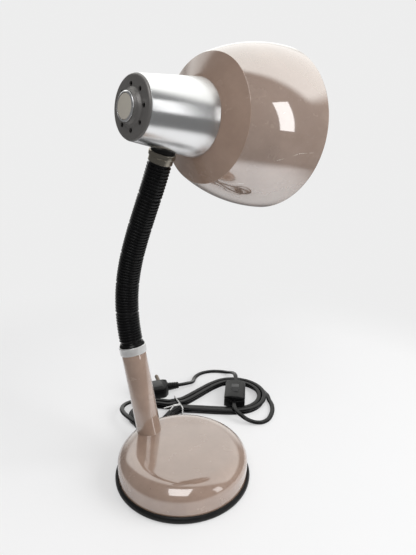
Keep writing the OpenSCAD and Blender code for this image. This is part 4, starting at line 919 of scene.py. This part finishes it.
FLAT_R, MOUTH_R, SHEET = FRONT_R + 0.4, 20.2, 1.0
outer, inside = bowl(0, BOWL_STEPS), bowl(SHEET, 30)
foot = Vector((FLAT_R, SHADE_Z + 0.12))
cone = [tuple(foot.lerp(CREASE, i / 8)) for i in range(8)]
corner = rounded([cone[-1], (*CREASE, 1.0), outer[3]], 6)[1:-1]
skin_out = [(MOUTH_R, SHADE_Z), (FLAT_R - 0.4, SHADE_Z)] + cone + corner + outer[3:-2]
bead = ellipse(RIM.x - 1.3, RIM.y, 1.3, 1.3, -10, 200, 14)
skin_in = inside[-2:1:-1] + [(CREASE.x - 0.6, CREASE.y + 0.9), (FLAT_R - 0.3, SHADE_Z + SHEET),
                             (MOUTH_R, SHADE_Z + SHEET)]
mesh = to_mesh("shade_skin", lathe(skin_out + bead + skin_in, 224), HEAD)
inverse = (MM @ HEAD).inverted()
for face in mesh.polygons:
    c = inverse @ face.center
    n = (inverse.to_3x3() @ face.normal).normalized()
    r = math.hypot(c.x, c.y)
    inward = (n.x * c.x + n.y * c.y) / max(r, 1e-6)
    walls = inward < 0 and n.z > -0.5 and r < RIM.x - 1.5 and c.z > SHADE_Z + 0.5
    # Faces of the back cone get the less glossy enamel copy, which stands in for the shade on the cone.
    face.material_index = 1 if walls or (n.z > 0.5 and r < CREASE.x + 1) else 2 if c.z < CREASE.y + 0.2 else 0
indices = [f.material_index for f in mesh.polygons]
shade = add("shade_skin", mesh, ("shade", "inner", "cone"), "head", "shade", angle=38)
for face, index in zip(shade.data.polygons, indices):
    face.material_index = index

# In-line switch and plug

LINE_W, LINE_H, TOP_R = 25, 16, 22
half_l, half_w = LINE_L / 2 - 0.1, LINE_W / 2 - 0.1
turn_in = math.degrees(math.asin(half_w / half_l))
plan = [(half_l * math.cos(math.radians(s * 180 + a)), half_l * math.sin(math.radians(s * 180 + a)))
        for s in (0, 1) for a in [turn_in * (i - 6) / 6 for i in range(13)]]


def crown(bm, top, reach):
    """Lowers the upper face of a moulding to a crown across its width."""
    for v in bm.verts:
        if v.co.z > reach:
            v.co.z -= (TOP_R - math.sqrt(max(0, TOP_R ** 2 - v.co.y ** 2))) * (v.co.z - reach) / (top - reach)


lower = block(plan, 0.35, LINE_SEAM - 0.2, 0.9)
skin("line_switch_foot", lower, LINE, "fitting", "base", "line_switch_base", 40)
upper = block(plan, LINE_SEAM + 0.1, LINE_H, 1.6, 5)
crown(upper, LINE_H, LINE_SEAM + 1)
slot = block([(-9.6, -4.7), (9.6, -4.7), (9.6, 4.7), (-9.6, 4.7)], 8, 22, 0)
slot.transform(LINE)
mesh = cut(to_mesh("line_switch_top", upper, LINE), slot)
add("line_switch_top", mesh, "fitting", "base", "line_switch_cover", angle=40)

PLUG_SEAM, PLUG_TOP = 2.6, 7.9
plug_plan = rounded([(-48, -8, 4), (-44, -12.4, 4), (-19, -12.4, 5), (-14, -6, 4), (-14, 6, 3),
                     (-17, 12.4, 2), (-46, 12.4, 2), (-48, 9, 2)], 5)
body = block(plug_plan, -PLUG_TOP, PLUG_SEAM - 0.05, 1.3, 4)
skin("plug_foot", body, PLUG, "fitting", "base", "", 40)
rings = [(4.9, -12.2, 0.3), (4.3, -12.0, 0.2), (4.3, -11.2, 0.2), (4.8, -11.0, 0.3)]
strain = rounded([(0, -14.5), (5.0, -14.5)]
                 + [(round(r - 0.2 * i, 1), round(z + 2.8 * i, 1), c) for i in range(3) for r, z, c in rings]
                 + [(4.2, -3.8, 0.3), (3.8, -3.6, 0.2), (3.8, -2.8, 0.2), (4.1, -2.6, 0.3), (3.8, -0.05, 0.4),
                    (0, -0.05)])
skin("plug_relief", lathe(strain, 48, closed=False), PLUG @ rot("Y", 90), "fitting", "base", "plug_body",
     40)
lid = block(plug_plan, PLUG_SEAM + 0.05, PLUG_TOP, 1.8, 5)
crown(lid, PLUG_TOP, PLUG_SEAM + 1)
recess = block(rounded([(-42, -8, 2), (-21, -8, 2), (-21, 7, 2), (-42, 7, 2)]), 6.2, 12, 0)
recess.transform(PLUG)
mesh = cut(to_mesh("plug_lid", lid, PLUG), recess)
add("plug_lid", mesh, "fitting", "base", "plug_cover", angle=40)
badge = block(rounded([(-41.6, -7.6, 1.8), (-21.4, -7.6, 1.8), (-21.4, 6.6, 1.8), (-41.6, 6.6, 1.8)]),
              5.5, 6.75, 0.3)
skin("plug_panel", badge, PLUG, "panel", "base", "", 40)

# CAD nodes that stay as they are and get a finish alone

kept = {
    "iron": "ballast", "felt": "felt_pad", "tie": "hank_tie", "pin": "plug_pins", "washer": "saddle_washer",
    "steel": "base_plate plate_screws foot_plug foot_washer neck_foot spring_washer holder_bracket",
    "brass": "foot_stud foot_nut swivel_nipple lock_nut bracket_screws screw_shell centre_contact",
    "fitting": "cord_gland switch_body", "panel": "line_switch_rocker", "holder": "lampholder shade_ring",
    "glass": "bulb_glass", "capmetal": "bulb_cap",
}
for k in range(1, 7):
    kept["steel"] += " neck_core_%d" % k
for finish, names in kept.items():
    for name in names.split():
        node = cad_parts.get(name)
        if node is not None and not node.hide_render:
            node.data.materials.clear()
            node.data.materials.append(mats[finish])

# Floor, light

# Tone of the background, tone of the dark side of the room in a reflection, and how far the floor near
# the lamp takes the background's tone for the camera
PALE, ROOM, CLOTH = 0.85, 0.18, 0.45
FLOOR_HALF, AMBIENT, BRIGHT = 9, 0.45, (1.45, 1.45, 1.41)
floor_mesh = bpy.data.meshes.new("floor")
corners = [(x * FLOOR_HALF, y * FLOOR_HALF, 0) for x, y in ((-1, -1), (1, -1), (1, 1), (-1, 1))]
floor_mesh.from_pydata(corners, [], [(0, 1, 2, 3)])
floor = linked("floor", floor_mesh)
ground = Paint("floor_pale", (0.88, 0.88, 0.885), 0.6)
ground.feed("Base Color", ground.mix(ground.noise(6, 3), (0.87, 0.87, 0.875), (0.90, 0.90, 0.905)))
ray = ground.node("ShaderNodeLightPath").outputs
distance = ground.vector("LENGTH", ground.where)
tone = ground.mix(ray["Is Glossy Ray"], (PALE,) * 3, (ROOM,) * 3)
far_floor = ground.node("ShaderNodeEmission", {"Color": tone, "Strength": 1.0})
to_centre = ground.vector("DISTANCE", ground.where, VIEW @ Vector((0.12, 0.20, 0)))
mirrored = ground.times(ray["Is Glossy Ray"], ground.band(to_centre, 0.30, 0.42))
share = ground.math("MAXIMUM", ground.band(distance, 0.24, 0.60), ground.times(ray["Is Camera Ray"], CLOTH))
share = ground.math("MAXIMUM", share, mirrored)
merge = ground.node("ShaderNodeMixShader", {0: share})
ground.nt.links.new(ground.bsdf.outputs[0], merge.inputs[1])
ground.nt.links.new(far_floor.outputs[0], merge.inputs[2])
ground.nt.links.new(merge.outputs[0], ground.nt.nodes["Material Output"].inputs["Surface"])
floor_mesh.materials.append(ground.m)

world = bpy.data.worlds.new("studio")
scene.world = world
world.use_nodes = True
sky = Nodes(world.node_tree)
ambient = sky.nt.nodes["Background"]
ambient.inputs["Color"].default_value = (1, 1, 1, 1)
ambient.inputs["Strength"].default_value = AMBIENT
look = sky.node("ShaderNodeTexCoord").outputs["Generated"]
upward = sky.node("ShaderNodeSeparateXYZ", {"Vector": look}).outputs["Z"]
behind = sky.vector("DOT_PRODUCT", look, VIEW @ Vector((0, 1, 0)))
window = sky.vector("DOT_PRODUCT", look, VIEW @ Vector((0.35, 0.80, 0.35)))
ceiling = sky.times(sky.band(window, 0.28, 0.42), sky.band(upward, 0.34, 0.52))
lit = sky.math("MAXIMUM", ceiling, sky.band(behind, 0.72, 0.95))
mirror = sky.node("ShaderNodeBackground", {"Color": sky.mix(lit, (ROOM,) * 3, BRIGHT)})
seen = sky.node("ShaderNodeBackground", {"Color": (PALE, PALE, PALE, 1)})
ray = sky.node("ShaderNodeLightPath").outputs
glossy = sky.node("ShaderNodeMixShader", {0: ray["Is Glossy Ray"]})
shown = sky.math("MAXIMUM", ray["Is Camera Ray"], ray["Is Transmission Ray"])
direct = sky.node("ShaderNodeMixShader", {0: shown})
for a, b in ((ambient.outputs[0], glossy.inputs[1]), (mirror.outputs[0], glossy.inputs[2]),
             (glossy.outputs[0], direct.inputs[1]), (seen.outputs[0], direct.inputs[2]),
             (direct.outputs[0], sky.nt.nodes["World Output"].inputs["Surface"])):
    sky.nt.links.new(a, b)


def softbox(name, where, size, power, mirrored=True, target=(0, 0, 0.15)):
    data = bpy.data.lights.new(name, "AREA")
    data.shape = "RECTANGLE"
    data.size, data.size_y = size
    data.energy = power
    obj = linked(name, data)
    obj.location = VIEW @ Vector(where)
    obj.rotation_euler = (VIEW @ Vector(target) - obj.location).to_track_quat("-Z", "Y").to_euler()
    obj.visible_glossy = mirrored


softbox("window_right", (1.5, -0.3, 1.0), (1.2, 1.4), 24, False)
softbox("window_front", (-0.15, -1.2, 1.75), (1.0, 1.5), 17)
softbox("window_strip", (1.35, -0.85, 0.62), (0.32, 0.95), 2.1)
scene.view_settings.view_transform = "Standard"
